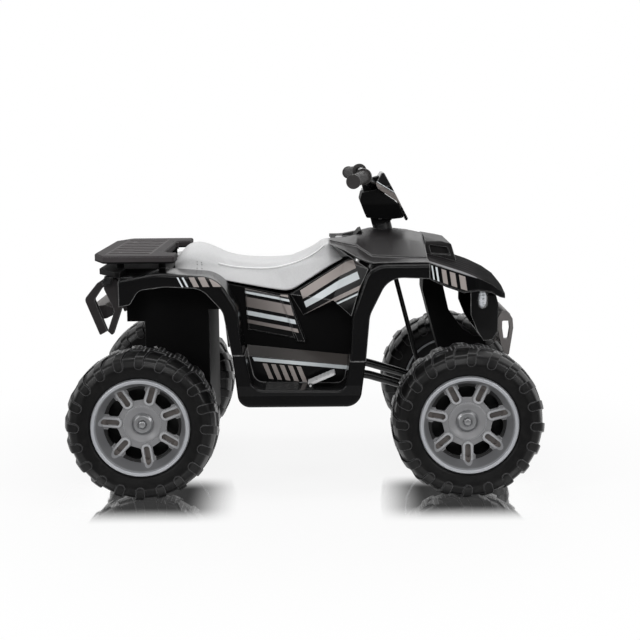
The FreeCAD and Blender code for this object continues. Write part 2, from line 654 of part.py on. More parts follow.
def footwell():
    """Left footwell: hollow U bar with ribbed floor, and the liner wall with its ledge."""
    region = [(REAR_LEG_X, REAR_SEAM_Z), (REAR_LEG_X + 30, REAR_SEAM_Z), (REAR_LEG_X + 49, FLOOR_Z + 2, 30)]
    region += [(FRONT_LEG_X - 52, FLOOR_Z - 1, 22), (FRONT_LEG_X - 39, FRONT_SEAM_Z), (FRONT_LEG_X, FRONT_SEAM_Z)]
    region += [(FRONT_LEG_X - 15, FOOT_LOW_Z, 38), (REAR_LEG_X + 15, FOOT_LOW_Z, 30)]
    outer = prism("xz", region, BODY_HALF, FENDER_HALF)
    seams = (FRONT_SEAM_Z, REAR_SEAM_Z)
    face_edges = [e for e in outer.Edges if e.BoundBox.YMin > FENDER_HALF - 0.1]
    face_edges = [e for e in face_edges if min(abs(e.CenterOfMass.z - z) for z in seams) > 0.5]
    outer = outer.makeFillet(EDGE_ROUND - 3, face_edges)
    shell = outer.cut(prism("xz", inset(region, WALL), BODY_HALF - 1, FENDER_HALF - WALL))
    liner = [(REAR_LEG_X + 36, FLOOR_Z - 2), (REAR_LEG_X + 30, REAR_SEAM_Z + 6), (FRONT_LEG_X - 41, FRONT_SEAM_Z - 4)]
    liner += [(FRONT_LEG_X - 50, FLOOR_Z - 2)]
    wall = prism("xz", liner, BODY_HALF, BODY_HALF + LEDGE)
    top = (REAR_SEAM_Z + FRONT_SEAM_Z) / 2 - 5
    ledge = [e for e in wall.Edges if e.BoundBox.YMin > BODY_HALF + LEDGE - 1 and e.CenterOfMass.z > top]
    wall = wall.makeChamfer(LEDGE - 5, ledge)
    ribs = []
    back, front = saddle(0.379), saddle(0.71)
    first = BODY_HALF + LEDGE + 4
    pitch = (FENDER_HALF - first - 18) / 5
    for k in range(6):
        y = first + pitch * k
        rib = [(back, y, 1.9), (back, y + 4, 1.9), (front, y + 4, 1.9), (front, y, 1.9)]
        ribs.append(prism("xy", rib, FLOOR_Z - 3, FLOOR_Z + 3.5))
    return shell.multiFuse([wall] + ribs)


def pedal_hinge():
    """Centre of the pedal hinge."""
    return V(PEDAL_X, PEDAL_Y, FLOOR_Z + 8)


def footwell_right():
    """Right footwell with the two hinge lugs of the pedal."""
    body = mirrored(footwell())
    hinge = pedal_hinge()
    half = PEDAL_WIDTH / 2 + GAP
    for sign in (1, -1):
        y = hinge.y + sign * (half + 2.5)
        lug = moved([(-7, -11), (-6, 6, 5), (6, 6, 5), (8, -11)], hinge.x, hinge.z)
        body = body.fuse(prism("xz", lug, y - 2.5, y + 2.5))
    reach = V(0, half + 6, 0)
    return body.cut(rod(hinge - reach, hinge + reach, PEDAL_PIN + RUN_FIT))


def pedal():
    """Foot pedal plate with grip bars and its two hinge pins."""
    hinge = pedal_hinge()
    half = PEDAL_WIDTH / 2
    plate = prism("xy", [(-4, -half), (-4, half), (PEDAL_LENGTH, half, 8), (PEDAL_LENGTH, -half, 8)], 0, PEDAL_THICK)
    reach = V(0, half + GAP + 4.5, 0)
    pieces = [rod(-reach, reach, PEDAL_PIN), rod(V(0, -half, 0), V(0, half, 0), 5)]
    for k in range(5):
        x = 14 + 10 * k
        pieces.append(block((x, -half + 5, PEDAL_THICK - 1), (x + 4, half - 5, PEDAL_THICK + 1.5)))
    body = plate.multiFuse(pieces)
    body.rotate(V(0, 0, 0), V(0, 1, 0), -PEDAL_SLOPE)
    body.translate(hinge)
    return body


TUB_TOP = [(REAR_X - 50, DECK_LOW), (REAR_X + 58, DECK_LOW), (REAR_X + 71, 529), (REAR_X + 114, 522)]
TUB_TOP += [(REAR_LEG_X - 35, 507), (saddle(0.504), 478), (saddle(0.625), 476), (FRONT_LEG_X - 45, 558)]
TUB_TOP += [(FRONT_LEG_X - 22, 558)]
TUB_GATE = [(FRONT_LEG_X - 22, 335), (FRONT_LEG_X - 32, FOOT_LOW_Z + 4), (REAR_LEG_X + 16, FOOT_LOW_Z + 4)]
TUB_GATE += [(REAR_LEG_X - 10, 440), (REAR_X + 153, 440), (REAR_X + 153, AXLE_Z - 44), (REAR_X - 46, AXLE_Z - 44)]
TUB_GATE += [(REAR_X - 46, AXLE_Z + 54), (REAR_X - 6, AXLE_Z + 66), (REAR_X - 6, 411), (REAR_X - 50, 411)]


def centre_tub():
    """Main moulding: battery bay and motor bay, open at the top under the seat."""
    region = TUB_TOP + TUB_GATE
    body = prism("xz", region, -BODY_HALF, BODY_HALF)
    body = body.cut(prism("xz", inset(region, WALL), -BODY_HALF + WALL, BODY_HALF - WALL))
    mouth = [(x, z - WALL - 3) for x, z in TUB_TOP[2:7]]
    mouth += [(x, z + 20) for x, z in reversed(TUB_TOP[2:7])]
    body = body.cut(prism("xz", mouth, -BODY_HALF + 14, BODY_HALF - 14))
    axle = V(REAR_X, 0, AXLE_Z)
    motor = V(REAR_X + MOTOR_AHEAD, 0, AXLE_Z + 12)
    wide = V(0, BODY_HALF + 5, 0)
    body = body.cut(rod(axle - wide, axle + wide, AXLE_RADIUS))
    body = body.cut(rod(motor - wide, motor + wide, MOTOR_RADIUS))
    for sign in (1, -1):
        rail = V(FRONT_LEG_X - 50, sign * RAIL_Y, RAIL_Z)
        body = body.cut(rod(rail, rail + V(60, 0, 0), RAIL_RADIUS))
        start = saddle(0.605)
        cradle = block((start, sign * RAIL_Y - 16, FOOT_LOW_Z + 6), (start + 30, sign * RAIL_Y + 16, RAIL_Z))
        body = body.fuse(cradle.cut(rod(rail - V(300, 0, 0), rail, RAIL_RADIUS)))
    return body


def gearbox():
    """Left reduction gearbox beside the tub, around the axle and the motor shaft."""
    m = AXLE_Z + 12
    front = REAR_X + MOTOR_AHEAD + 26
    region = [(REAR_X - 34, AXLE_Z - 38, 34), (REAR_X - 34, AXLE_Z + 38, 34)]
    region += [(front, m + 28, 26), (front, m - 28, 26)]
    body = prism("xz", region, BODY_HALF, BODY_HALF + GEARBOX_WIDTH)
    edges = [e for e in body.Edges if e.BoundBox.YMin > BODY_HALF + GEARBOX_WIDTH - 0.1]
    body = body.makeChamfer(3, edges)
    axle = V(REAR_X, 0, AXLE_Z)
    return body.cut(rod(axle, axle + V(0, 2 * BODY_HALF, 0), AXLE_RADIUS))


def motor():
    """Left drive motor: can, end bell and terminals, inside the tub."""
    here = V(REAR_X + MOTOR_AHEAD, BODY_HALF, AXLE_Z + 12)
    can = rod(here, here - V(0, MOTOR_LENGTH, 0), MOTOR_RADIUS)
    bell = rod(here - V(0, MOTOR_LENGTH, 0), here - V(0, MOTOR_LENGTH + 6, 0), MOTOR_RADIUS - 5)
    return can.fuse(bell)


def rear_axle():
    """Rear axle rod across both gearboxes and wheels."""
    return rod(V(REAR_X, -STUB_END, AXLE_Z), V(REAR_X, STUB_END, AXLE_Z), AXLE_RADIUS)


def battery():
    """Sealed battery with two terminals on the floor of the tub."""
    low = FOOT_LOW_Z + 4 + WALL
    high = low + BATTERY_HEIGHT
    back = REAR_LEG_X + 33
    front = back + FRONT_LEG_X - REAR_LEG_X - 55 - BATTERY_ROOM
    body = block((back, -BATTERY_WIDTH / 2, low), (front, BATTERY_WIDTH / 2, high))
    for sign in (1, -1):
        body = body.fuse(block((back + 6, sign * 36 - 6, high), (back + 16, sign * 36 + 6, high + 6)))
    return body


def side_panel():
    """Left raised panel behind the knee, on the tub side, with its slanted front spine."""
    region = [(REAR_LEG_X + 32, 388), (REAR_LEG_X + 26, 492), (saddle(0.516), 473, 4), (saddle(0.605), 471, 4)]
    region += [(saddle(0.734), 362, 4)]
    spine = [(saddle(0.508), 476, 5), (saddle(0.613), 474, 5), (saddle(0.79), 354, 5), (saddle(0.686), 356, 5)]
    body = prism("xz", region, BODY_HALF, BODY_HALF + SIDE_PROUD)
    edges = [e for e in body.Edges if e.BoundBox.YMin > BODY_HALF + SIDE_PROUD - 0.1]
    body = body.makeChamfer(SIDE_PROUD * 0.6, edges)
    bar = prism("xz", spine, BODY_HALF, BODY_HALF + 2 * SIDE_PROUD)
    edges = [e for e in bar.Edges if e.BoundBox.YMin > BODY_HALF + 2 * SIDE_PROUD - 0.1]
    return body.fuse(bar.makeChamfer(SIDE_PROUD * 0.8, edges))


def knee_panel():
    """Left faceted panel that flares from the seat edge out to the front leg."""
    base = BODY_HALF + 4
    a, b, c = (saddle(0.629), base, 476), (FRONT_LEG_X - 47, base, 557), (FRONT_LEG_X - 82, base - 6, 600)
    d, e = (FRONT_LEG_X + 7, FENDER_HALF - 14, 549), (FRONT_LEG_X - 15, FENDER_HALF - 5, 503)
    f, g = (FRONT_LEG_X - 34, FENDER_HALF - 6, 437), (FRONT_LEG_X - 77, BODY_HALF + 52, 467)
    h = (saddle(0.754), base + 2, 424)
    return facets([(a, h, g), (a, g, b), (g, f, e), (g, e, d), (g, d, b), (b, d, c)], 4)


HOOD_STATIONS = [
    (FRONT_LEG_X - 84, 606, 0.48, 606, 0.75, 605, BODY_HALF - 22, 597),
    (FRONT_LEG_X - 48, 608, 0.46, 607, 0.77, 601, BODY_HALF + 24, 586),
    (FRONT_LEG_X - 17, 617, 0.44, 612, 0.75, 597, BODY_HALF + 58, 571),
    (FRONT_LEG_X + 2, 623, 0.41, 613, 0.72, 585, FENDER_HALF - 39, 566),
    (FRONT_LEG_X + 19, 627, 0.40, 614, 0.71, 575, FENDER_HALF - 19, 564),
    (FRONT_X - 175, 627, 0.40, 612, 0.74, 574, FENDER_HALF - 12, 565.6),
    (FRONT_X - 130, 622, 0.40, 606, 0.74, 572, FENDER_HALF - 11, 565.6),
    (FRONT_X - 90, 613, 0.39, 598, 0.74, 571, FENDER_HALF - 10, 565.4),
]
NOSE_STATIONS = [
    (FRONT_X - 89.6, 577, 0.39, 572, 0.74, 566, FENDER_HALF - 10, 563, 527),
    (FRONT_X - 50, 569, 0.38, 562, 0.73, 556, FENDER_HALF - 13, 549, 508),
    (FRONT_X - 7, 556, 0.37, 550, 0.71, 543, FENDER_HALF - 23, 536, 492),
    (FRONT_X + 30, 543, 0.36, 538, 0.70, 530, FENDER_HALF - 41, 522, 494),
    (FRONT_X + 65, 526, 0.37, 520, 0.70, 512, FENDER_HALF - 69, 503, 486),
    (FRONT_X + 92, 507, 0.40, 500, 0.70, 492, FENDER_HALF - 105, 482, 470),
    (FRONT_X + 109, 486, 0.46, 482, 0.73, 476, FENDER_HALF - 145, 470, 462),
]
CREASE_STEP = 5.0
COLLAR_RADIUS = 24.0


def hood():
    """Creased top cover between the dash and the nose, with the steering collar and bush boss."""
    wires = []
    for x, centre, top, top_z, crease, crease_z, edge_y, edge_z in HOOD_STATIONS:
        half = [(0, centre), (edge_y * top, top_z), (edge_y * crease, crease_z)]
        half += [(edge_y * crease + 2, max(crease_z - CREASE_STEP, edge_z + 0.2)), (edge_y, edge_z)]
        wires.append(arch_section(x, half, HOOD_WALL))
    body = Part.makeLoft(wires, True, True)
    boss = rod(column_point(HIGH_BUSH_Z - BUSH_LENGTH / 2 - 3), column_point(COLUMN_Z), BUSH_RADIUS + 9)
    collar = rod(column_point(COLUMN_Z - 18), column_point(COLUMN_Z + NECK_RISE - 1.4), COLLAR_RADIUS)
    body = body.multiFuse([boss, collar])
    body = body.cut(bush_seat(HIGH_BUSH_Z, 0))
    body = body.cut(rod(column_point(HIGH_BUSH_Z - 60), column_point(COLUMN_Z + 60), COLUMN_RADIUS + 2))
    recess = block((-50, -DASH_HALF - 0.5, DASH_Z - 64), (-2, DASH_HALF + 0.5, DASH_Z + 96))
    return body.cut(recess.fuse(recess.translated(V(-48, 0, 0))).translated(V(FRONT_LEG_X, 0, 0)))


def nose_cover():
    """Front cover with side skirts, from the hood to the tip."""
    wires = []
    for x, centre, top, top_z, crease, crease_z, edge_y, edge_z, skirt_z in NOSE_STATIONS:
        half = [(0, centre), (edge_y * top, top_z), (edge_y * crease, crease_z)]
        half += [(edge_y, edge_z), (edge_y + 4, skirt_z)]
        wires.append(arch_section(x, half, HOOD_WALL))
    return Part.makeLoft(wires, True, True)


def hood_vent():
    """Raised vent block seated on the nose in front of the hood, with a slanted mouth each side."""
    side = moved([(-89.2, 560), (-89.2, 610, 3), (-24, 594, 6), (-8, 540)], FRONT_X)
    front = [(-118, 520), (-112, 599, 8), (-60, 612, 30), (60, 612, 30), (112, 599, 8), (118, 520)]
    body = prism("xz", side, -130, 130).common(prism("yz", front, FRONT_X - 110, FRONT_X + 10))
    mouth = moved([(-74, 570), (-79, 592, 3), (-33, 585, 3), (-26, 566)], FRONT_X)
    for near, far in ((102, 130), (-130, -102)):
        body = body.cut(prism("xz", mouth, near, far))
    return max(body.cut(nose_cover()).Solids, key=lambda solid: solid.Volume)


def dash_panel():
    """Switch panel in front of the seat, standing on the tub, with holes for the switches."""
    side = [(-82, -5), (-82, 0, 2), (-26, 0, 6), (-10, 19, 4), (-3, 21, 1), (-3, 12), (-22, -5)]
    body = prism("xz", moved(side, FRONT_LEG_X, DASH_Z), -DASH_HALF, DASH_HALF)
    back, front = FRONT_LEG_X - 42, FRONT_LEG_X - 24
    body = body.fuse(block((back, -46, 558), (front, 46, DASH_Z - 3)))
    body = body.cut(block((back - 1, -42, 562), (front - 4, 42, DASH_Z - 5)))
    body = body.cut(rod(V(SWITCH_X, -30, DASH_Z - 14), V(SWITCH_X, -30, DASH_Z + 16), BUTTON_RADIUS + GAP))
    return body.cut(block((SWITCH_X - 10, 20 - GAP, DASH_Z - 14), (SWITCH_X + 10, 38 + GAP, DASH_Z + 16)))


def start_button():
    """Round start button that slides in the dash panel."""
    return rod(V(SWITCH_X, -30, DASH_Z - 10), V(SWITCH_X, -30, DASH_Z + BUTTON_RISE), BUTTON_RADIUS)


def rocker():
    """Forward and reverse rocker in the dash panel."""
    side = [(-7, -9, 2), (-9.2, 4, 1), (0, 1.5, 14), (9.2, 4, 1), (7, -9, 2)]
    return prism("xz", moved(side, SWITCH_X, DASH_Z), 20, 38)


SEAT_STATIONS = [
    (REAR_LEG_X - 152, 531, 38, 545, 52, 556),
    (REAR_LEG_X - 130, 529, 14, 566, 38, 590),
    (REAR_LEG_X - 97, 524, 5, 570, 36, 594),
    (REAR_LEG_X - 62, 515, 1, 559, 36, 580),
    (saddle(0), 505.5, 0.4, 545, 38, 560),
    (saddle(0.2), 495.5, 0.4, 539, 40, 552),
    (saddle(0.427), 484.5, 0.4, 538, 42, 550),
    (saddle(0.625), 479, 0.4, 547, 44, 553),
    (saddle(0.794), 503, 3, 563, 48, 569),
    (saddle(0.891), 517, 7, 577, 54, 582),
    (saddle(1), 533, 14, 596, 62, 599),
    (FRONT_LEG_X - 70, 546, 24, 584, 66, 587),
    (FRONT_LEG_X - 50, 558, 38, 570, 70, 572),
]


def seat_loft(shrink, drop):
    """Seat form through its stations, drawn in by a foam thickness and dropped below its rim."""
    wires = []
    first, last = SEAT_STATIONS[0][0], SEAT_STATIONS[-1][0]
    for x, low, low_inset, crease, crease_inset, top in SEAT_STATIONS:
        low, crease, top = low - drop, crease - shrink, top - shrink
        low_y, crease_y = BODY_HALF - low_inset - shrink, BODY_HALF - crease_inset - shrink
        x = x + shrink * (1 - 2 * (x - first) / (last - first))
        p = [V(x, -low_y, low), V(x, -crease_y, crease), V(x, 0, top), V(x, crease_y, crease), V(x, low_y, low)]
        waist = (low_y + crease_y) / 2 - 5
        mid = (low + crease) / 2
        edges = [Part.Arc(p[0], V(x, -waist, mid), p[1]).toShape(), Part.Arc(p[1], p[2], p[3]).toShape()]
        edges += [Part.Arc(p[3], V(x, waist, mid), p[4]).toShape(), Part.makeLine(p[4], p[0])]
        wires.append(Part.Wire(edges))
    return Part.makeLoft(wires, True, False)


def seat():
    """Cushion with a crowned top, drawn-in sides and a flared skirt over the tub."""
    cushion = seat_loft(0, 0).cut(seat_loft(SEAT_FOAM, 40))
    floor = moved(TUB_TOP[1:], 0, 1)
    under = floor + [(floor[-1][0], 300), (floor[0][0], 300)]
    return cushion.cut(prism("xz", under, -BODY_HALF - 20, BODY_HALF + 20))


def rear_rack():
    """Load rack: plate with chamfered rear corners, hollow below, slotted between long slats."""
    front = RACK_FRONT - 36
    tail, notch = RACK_HALF - 75, BODY_HALF + 2
    left = [(RACK_REAR, tail, 12), (RACK_REAR + 34, RACK_HALF, 12), (RACK_FRONT, RACK_HALF, 8)]
    left += [(RACK_FRONT, notch + 8, 6), (front, notch, 10)]
    plan = left + [(x, -y, r) for x, y, r in reversed(left)]
    low = RACK_Z - RACK_DEPTH
    body = prism("xy", plan, low, RACK_Z)
    edges = [e for e in body.Edges if e.BoundBox.ZMin > RACK_Z - 0.1]
    body = body.makeChamfer(3, edges)
    body = body.cut(prism("xy", inset(plan, 7), low - 1, RACK_Z - RACK_SKIN))
    slots = []
    pitch = (RACK_HALF - 67) / 4
    start, end = RACK_REAR + 34, RACK_FRONT - 64
    for k in range(-4, 5):
        y = pitch * k
        slot = [(start, y - 9, 8.9), (start, y + 9, 8.9), (end, y + 9, 8.9), (end, y - 9, 8.9)]
        slots.append(prism("xy", slot, low, RACK_Z + 1))
    body = body.cut(Part.makeCompound(slots))
    for x, y in POSTS:
        body = body.fuse(rod(V(x, y, low - 1), V(x, y, RACK_Z - 2), POST_RADIUS + 4))
    for x, y in POSTS:
        body = body.cut(rod(V(x, y, low - 2), V(x, y, RACK_Z - 9), POST_RADIUS + SNUG))
        body = body.cut(rod(V(x, y, low), V(x, y, RACK_Z + 2), SCREW_RADIUS + SNUG))
        body = body.cut(rod(V(x, y, RACK_Z - 3), V(x, y, RACK_Z + 2), SCREW_HEAD + SNUG))
    return body


def rear_deck():
    """Deck over the back of the tub, with four posts for the rack."""
    wide, narrow = FENDER_HALF - 43, FENDER_HALF - 125
    left = [(REAR_X - 115, narrow, 20), (REAR_X - 62, wide, 8), (REAR_X - 51, wide, 0), (REAR_X - 51, BODY_HALF, 0)]
    left += [(REAR_X + 64, BODY_HALF, 0)]
    body = prism("xy", left + [(x, -y, r) for x, y, r in reversed(left)], DECK_LOW, DECK_Z)
    for x, y in POSTS:
        body = body.fuse(rod(V(x, y, DECK_Z - 2), V(x, y, RACK_Z - 9), POST_RADIUS))
        body = body.cut(rod(V(x, y, RACK_Z - 26), V(x, y, RACK_Z), SCREW_RADIUS))
    return body


def rack_screws():
    """Countersunk screws that hold the rack on its posts."""
    screws = []
    for x, y in POSTS:
        shank = rod(V(x, y, RACK_Z - 24), V(x, y, RACK_Z - 2), SCREW_RADIUS)
        head = rod(V(x, y, RACK_Z - 3), V(x, y, RACK_Z - 0.5), SCREW_HEAD)
        drive = block((x - 3, y - 0.6, RACK_Z - 1.8), (x + 3, y + 0.6, RACK_Z))
        screws.append(shank.fuse(head).cut(drive))
    return Part.makeCompound(screws)


def rear_bumper():
    """Tail guard: two hooked side bars, two wedge brackets and the cross box."""
    pieces = []
    hook = [(-112, 514, 6), (-88, 529), (-80, 516), (-102, 500, 8), (-120, 474, 6), (-91, 396)]
    hook += [(-109, 386, 3), (-144, 475, 14)]
    wedge = [(-94, DECK_LOW), (-72, DECK_LOW, 3), (-50, 505, 5), (-44, 480, 6), (-78, 384, 4)]
    wedge += [(-90, 396), (-72, 446, 6), (-96, 500, 8)]
    outer = FENDER_HALF - 71
    for sign in (1, -1):
        near, far = sorted((sign * (outer - 18), sign * outer))
        pieces.append(prism("xz", moved(hook, REAR_X), near, far))
        pieces.append(prism("xz", moved(wedge, REAR_X), near, far))
    box = moved([(-138, 452, 4), (-96, 459, 4), (-76, 450), (-80, 432), (-94, 425, 4), (-124, 420, 4)], REAR_X)
    inner = outer - 18
    beam = prism("xz", box, -inner, inner)
    pieces.append(beam.cut(prism("xz", inset(box, 4), 4 - inner, inner - 4)))
    return pieces[0].multiFuse(pieces[1:])


def front_tower():
    """Hollow upright on the axle beam that carries the nose and the fascia."""
    side = [(-88, 590), (-46, 590), (-46, 516, 6), (-24, 420, 20), (10, 372, 20), (40, 352), (72, 352), (72, 300, 10)]
    side += [(28, 250, 30), (14, AXLE_Z + 4), (-14, AXLE_Z + 4), (-44, 300, 40), (-72, 400, 60), (-90, 470, 30)]
    side = moved(side, FRONT_X)
    body = prism("xz", side, -TOWER_HALF, TOWER_HALF)
    body = body.cut(prism("xz", inset(side, WALL), -TOWER_HALF + WALL, TOWER_HALF - WALL))
    body = body.cut(rod(V(FRONT_X, -KINGPIN_Y, AXLE_Z), V(FRONT_X, KINGPIN_Y, AXLE_Z), BEAM_RADIUS))
    return max(body.cut(nose_cover()).Solids, key=lambda solid: solid.Volume)


FASCIA_SIDE = [(22, 510), (56, 498), (86, 474, 4), (96, 440, 6), (94, 372, 6), (80, 352, 8), (56, 352)]
FASCIA_SIDE = moved(FASCIA_SIDE + [(38, 380, 10), (22, 420, 10)], FRONT_X)
CORNER_X = FRONT_X + 34
FASCIA_HALF = 150.0
CORNER_TURN = 31.5
CUT_WAY = V(math.cos(math.radians(CORNER_TURN)), -math.sin(math.radians(CORNER_TURN)), 0)
LAMP = V(CORNER_X, FASCIA_HALF, 458) + CUT_WAY * 20


def fascia_face(z):
    """X of the front face of the fascia at a height."""
    (high_x, high_z, _), (low_x, low_z, _) = FASCIA_SIDE[3], FASCIA_SIDE[4]
    return low_x + (high_x - low_x) * (z - low_z) / (high_z - low_z)


def fascia_plan(shrink):
    """Plan outline of the fascia with its front corners cut off."""
    half = FASCIA_HALF - shrink
    corner = CORNER_X - shrink * math.tan(math.radians(CORNER_TURN / 2))
    front = CORNER_X + 76
    tip = half - (front - corner) * math.tan(math.radians(CORNER_TURN))
    back = CORNER_X - 44
    return [(back, -half), (corner, -half), (front, -tip), (front, tip), (corner, half), (back, half)]


def front_fascia():
    """Front panel under the nose, with side cheeks, cut-off corners and a ribbed grille."""
    body = prism("xz", FASCIA_SIDE, -FASCIA_HALF, FASCIA_HALF).common(prism("xy", fascia_plan(0), 300, 520))
    hollow = moved([(10, 520), (50, 520), (82, 470), (91, 440), (89, 375), (78, 358), (10, 358)], FRONT_X)
    hollow = prism("xz", hollow, -FASCIA_HALF, FASCIA_HALF).common(prism("xy", fascia_plan(WALL), 300, 530))
    body = body.cut(hollow)
    slots = []
    for k in range(4):
        z = 384 + 16 * k
        slot = [(-62, z, 3.9), (-62, z + 8, 3.9), (62, z + 8, 3.9), (62, z, 3.9)]
        slots.append(prism("yz", slot, FRONT_X + 80, FRONT_X + 110))
    return body.cut(Part.makeCompound(slots))


def head_lamp():
    """Left head lamp: tall domed lens on the cut-off corner of the fascia."""
    body = prism("xy", [(-14, -24, 13.9), (14, -24, 13.9), (14, 24, 13.9), (-14, 24, 13.9)], 0, 9)
    edges = [e for e in body.Edges if e.BoundBox.ZMin > 8.9]
    body = body.makeFillet(6, edges)
    body.rotate(V(0, 0, 0), V(1, 0, 0), 90)
    body.rotate(V(0, 0, 0), V(0, 0, 1), 180 - CORNER_TURN)
    body.translate(LAMP)
    return body


def front_bumper():
    """Front guard: two windowed uprights, an upper hoop and a slotted skid plate."""
    pieces = []
    upright = [(104, 338, 3), (115, 310, 4), (124, 312, 4), (134, 380, 10), (132, 404, 10), (114, 428, 8), (102, 418)]
    upright = [(fascia_face(404), 404), (fascia_face(380), 380)] + moved(upright, FRONT_X)
    window = [(106, 380, 3), (106, 398, 3), (123, 398, 3), (125, 380, 3), (121, 352, 3), (110, 352, 3)]
    window = moved(window, FRONT_X)
    for near, far in ((92, 110), (-110, -92)):
        pieces.append(prism("xz", upright, near, far).cut(prism("xz", window, near - 1, far + 1)))
    pieces.append(rod(V(FRONT_X + 120, -100, 410), V(FRONT_X + 120, 100, 410), 8))
    plate = prism("xz", moved([(107, 340), (116, 318, 3), (122, 320, 3), (115, 344)], FRONT_X), -100, 100)
    for y in (-54, 0, 54):
        slot = [(y - 18, 324, 3), (y - 18, 334, 3), (y + 18, 334, 3), (y + 18, 324, 3)]
        plate = plate.cut(prism("yz", slot, FRONT_X + 90, FRONT_X + 140))
    pieces.append(plate)
    return pieces[0].multiFuse(pieces[1:])


def build_nodes():
    """All pieces of the quad bike by name."""
    nodes = {}
    shapes = {"tyre": tyre(), "rim": rim(), "hub_cap": hub_cap()}
    nut = axle_nut()
    corners = [("front_left", FRONT_X, 1), ("front_right", FRONT_X, -1)]
    corners += [("rear_left", REAR_X, 1), ("rear_right", REAR_X, -1)]
    spins = {"front_left": 10.0, "front_right": -24.5, "rear_left": 31.0, "rear_right": -17.5}
    for corner, x, side in corners:
        nodes["tyre_" + corner] = at_wheel(shapes["tyre"], x, side)
        nodes["rim_" + corner] = at_wheel(shapes["rim"], x, side, spins[corner])
        nodes["hub_cap_" + corner] = at_wheel(shapes["hub_cap"], x, side)
    nodes["axle_nut_front_left"] = at_wheel(nut, FRONT_X, 1)
    nodes["axle_nut_front_right"] = at_wheel(nut, FRONT_X, -1)
    nodes["rear_axle_nuts"] = Part.makeCompound([at_wheel(nut, REAR_X, 1), at_wheel(nut, REAR_X, -1)])
    nodes["rear_axle"] = rear_axle()
    nodes["gearboxes"] = Part.makeCompound([gearbox(), mirrored(gearbox())])
    nodes["drive_motors"] = Part.makeCompound([motor(), mirrored(motor())])
    nodes["battery"] = battery()
    nodes["front_subframe"] = front_subframe()
    nodes["kingpin_bolts"] = Part.makeCompound([kingpin_bolt(), mirrored(kingpin_bolt())])
    nodes["column_bushes"] = Part.makeCompound([bush(LOW_BUSH_Z), bush(HIGH_BUSH_Z)])
    nodes["knuckle_left"] = knuckle()
    nodes["knuckle_right"] = mirrored(knuckle())
    nodes["tie_rod"] = tie_rod()
    column, bar = steering_column(), handlebar()
    nodes["steering_column"] = column
    nodes["handlebar"] = bar
    nodes["grip_left"] = grip(1)
    nodes["grip_right"] = grip(-1)
    nodes["neck_block"] = neck_block(column, bar)
    nodes["handlebar_cowl"] = cowl()
    nodes["cowl_visor"] = visor()
    nodes["horn_button"] = horn_button()
    nodes["centre_tub"] = centre_tub()
    rear, front = fender(REAR_TOP, REAR_LOW), fender(FRONT_TOP, FRONT_LOW)
    nodes["rear_fender_left"] = rear
    nodes["rear_fender_right"] = mirrored(rear)
    nodes["front_fender_left"] = front
    nodes["front_fender_right"] = mirrored(front)
    nodes["footwell_left"] = footwell()
    nodes["footwell_right"] = footwell_right()
    nodes["foot_pedal"] = pedal()
    nodes["side_panels"] = Part.makeCompound([side_panel(), mirrored(side_panel())])
    nodes["knee_panels"] = Part.makeCompound([knee_panel(), mirrored(knee_panel())])
    nodes["hood"] = hood()
    nodes["nose_cover"] = nose_cover()
    nodes["hood_vent"] = hood_vent()
    nodes["dash_panel"] = dash_panel()
    nodes["start_button"] = start_button()
    nodes["direction_rocker"] = rocker()
    nodes["seat"] = seat()
    nodes["rear_deck"] = rear_deck()
    nodes["rear_rack"] = rear_rack()
    nodes["rack_screws"] = rack_screws()
    nodes["rear_bumper"] = rear_bumper()
    nodes["front_tower"] = front_tower()
    nodes["front_fascia"] = front_fascia()
    nodes["head_lamps"] = Part.makeCompound([head_lamp(), mirrored(head_lamp())])
    nodes["front_bumper"] = front_bumper()
    return nodes


os.makedirs("parts", exist_ok=True)
for name, shape in build_nodes().items():
    shape.exportStep("parts/" + name + ".step")
    print(name, len(shape.Solids), round(shape.Volume / 1000.0, 1), shape.isValid())
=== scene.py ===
"""Looks of a ride-on quad bike for children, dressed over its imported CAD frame."""

import json
import logging
import math
from dataclasses import dataclass, field
from enum import Enum
from typing import Any, Callable, Dict, List, Optional, Sequence, Tuple, Union

import bmesh
import bpy
from mathutils import Matrix, Vector
from mathutils.bvhtree import BVHTree

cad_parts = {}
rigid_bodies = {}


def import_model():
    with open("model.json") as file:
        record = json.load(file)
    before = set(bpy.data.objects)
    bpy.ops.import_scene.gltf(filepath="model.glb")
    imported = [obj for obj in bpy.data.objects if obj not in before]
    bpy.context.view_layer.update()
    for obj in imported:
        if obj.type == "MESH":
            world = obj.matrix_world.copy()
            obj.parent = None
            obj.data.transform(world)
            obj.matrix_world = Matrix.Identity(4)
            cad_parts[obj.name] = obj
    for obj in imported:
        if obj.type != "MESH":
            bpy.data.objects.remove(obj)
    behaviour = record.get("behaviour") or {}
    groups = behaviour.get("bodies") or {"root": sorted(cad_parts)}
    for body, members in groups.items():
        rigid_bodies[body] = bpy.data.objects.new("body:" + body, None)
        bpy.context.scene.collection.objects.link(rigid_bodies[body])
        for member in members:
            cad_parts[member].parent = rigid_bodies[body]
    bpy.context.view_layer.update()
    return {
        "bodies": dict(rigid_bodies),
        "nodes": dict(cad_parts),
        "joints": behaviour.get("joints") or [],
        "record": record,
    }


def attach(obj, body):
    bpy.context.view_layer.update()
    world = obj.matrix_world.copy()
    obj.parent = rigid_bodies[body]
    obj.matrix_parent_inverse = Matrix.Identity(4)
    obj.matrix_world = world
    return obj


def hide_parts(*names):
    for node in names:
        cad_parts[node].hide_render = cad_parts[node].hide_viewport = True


LOG = logging.getLogger("quad_bike")

Colour = Tuple[float, float, float]
Factors = Tuple[float, float, float]
Rows = Tuple[Tuple[float, float], ...]
Limits = Tuple[Tuple[Factors, float, float], ...]
Operand = Union["Sock", float, int]
Paint = Union["Sock", Colour]
Triple = Tuple["Sock", "Sock", "Sock"]

# Wheel centres: ahead of and behind the middle, left and right of it, above the ground.
HALF_BASE = 0.39
HALF_TRACK = 0.2675
AXLE_Z = 0.1825

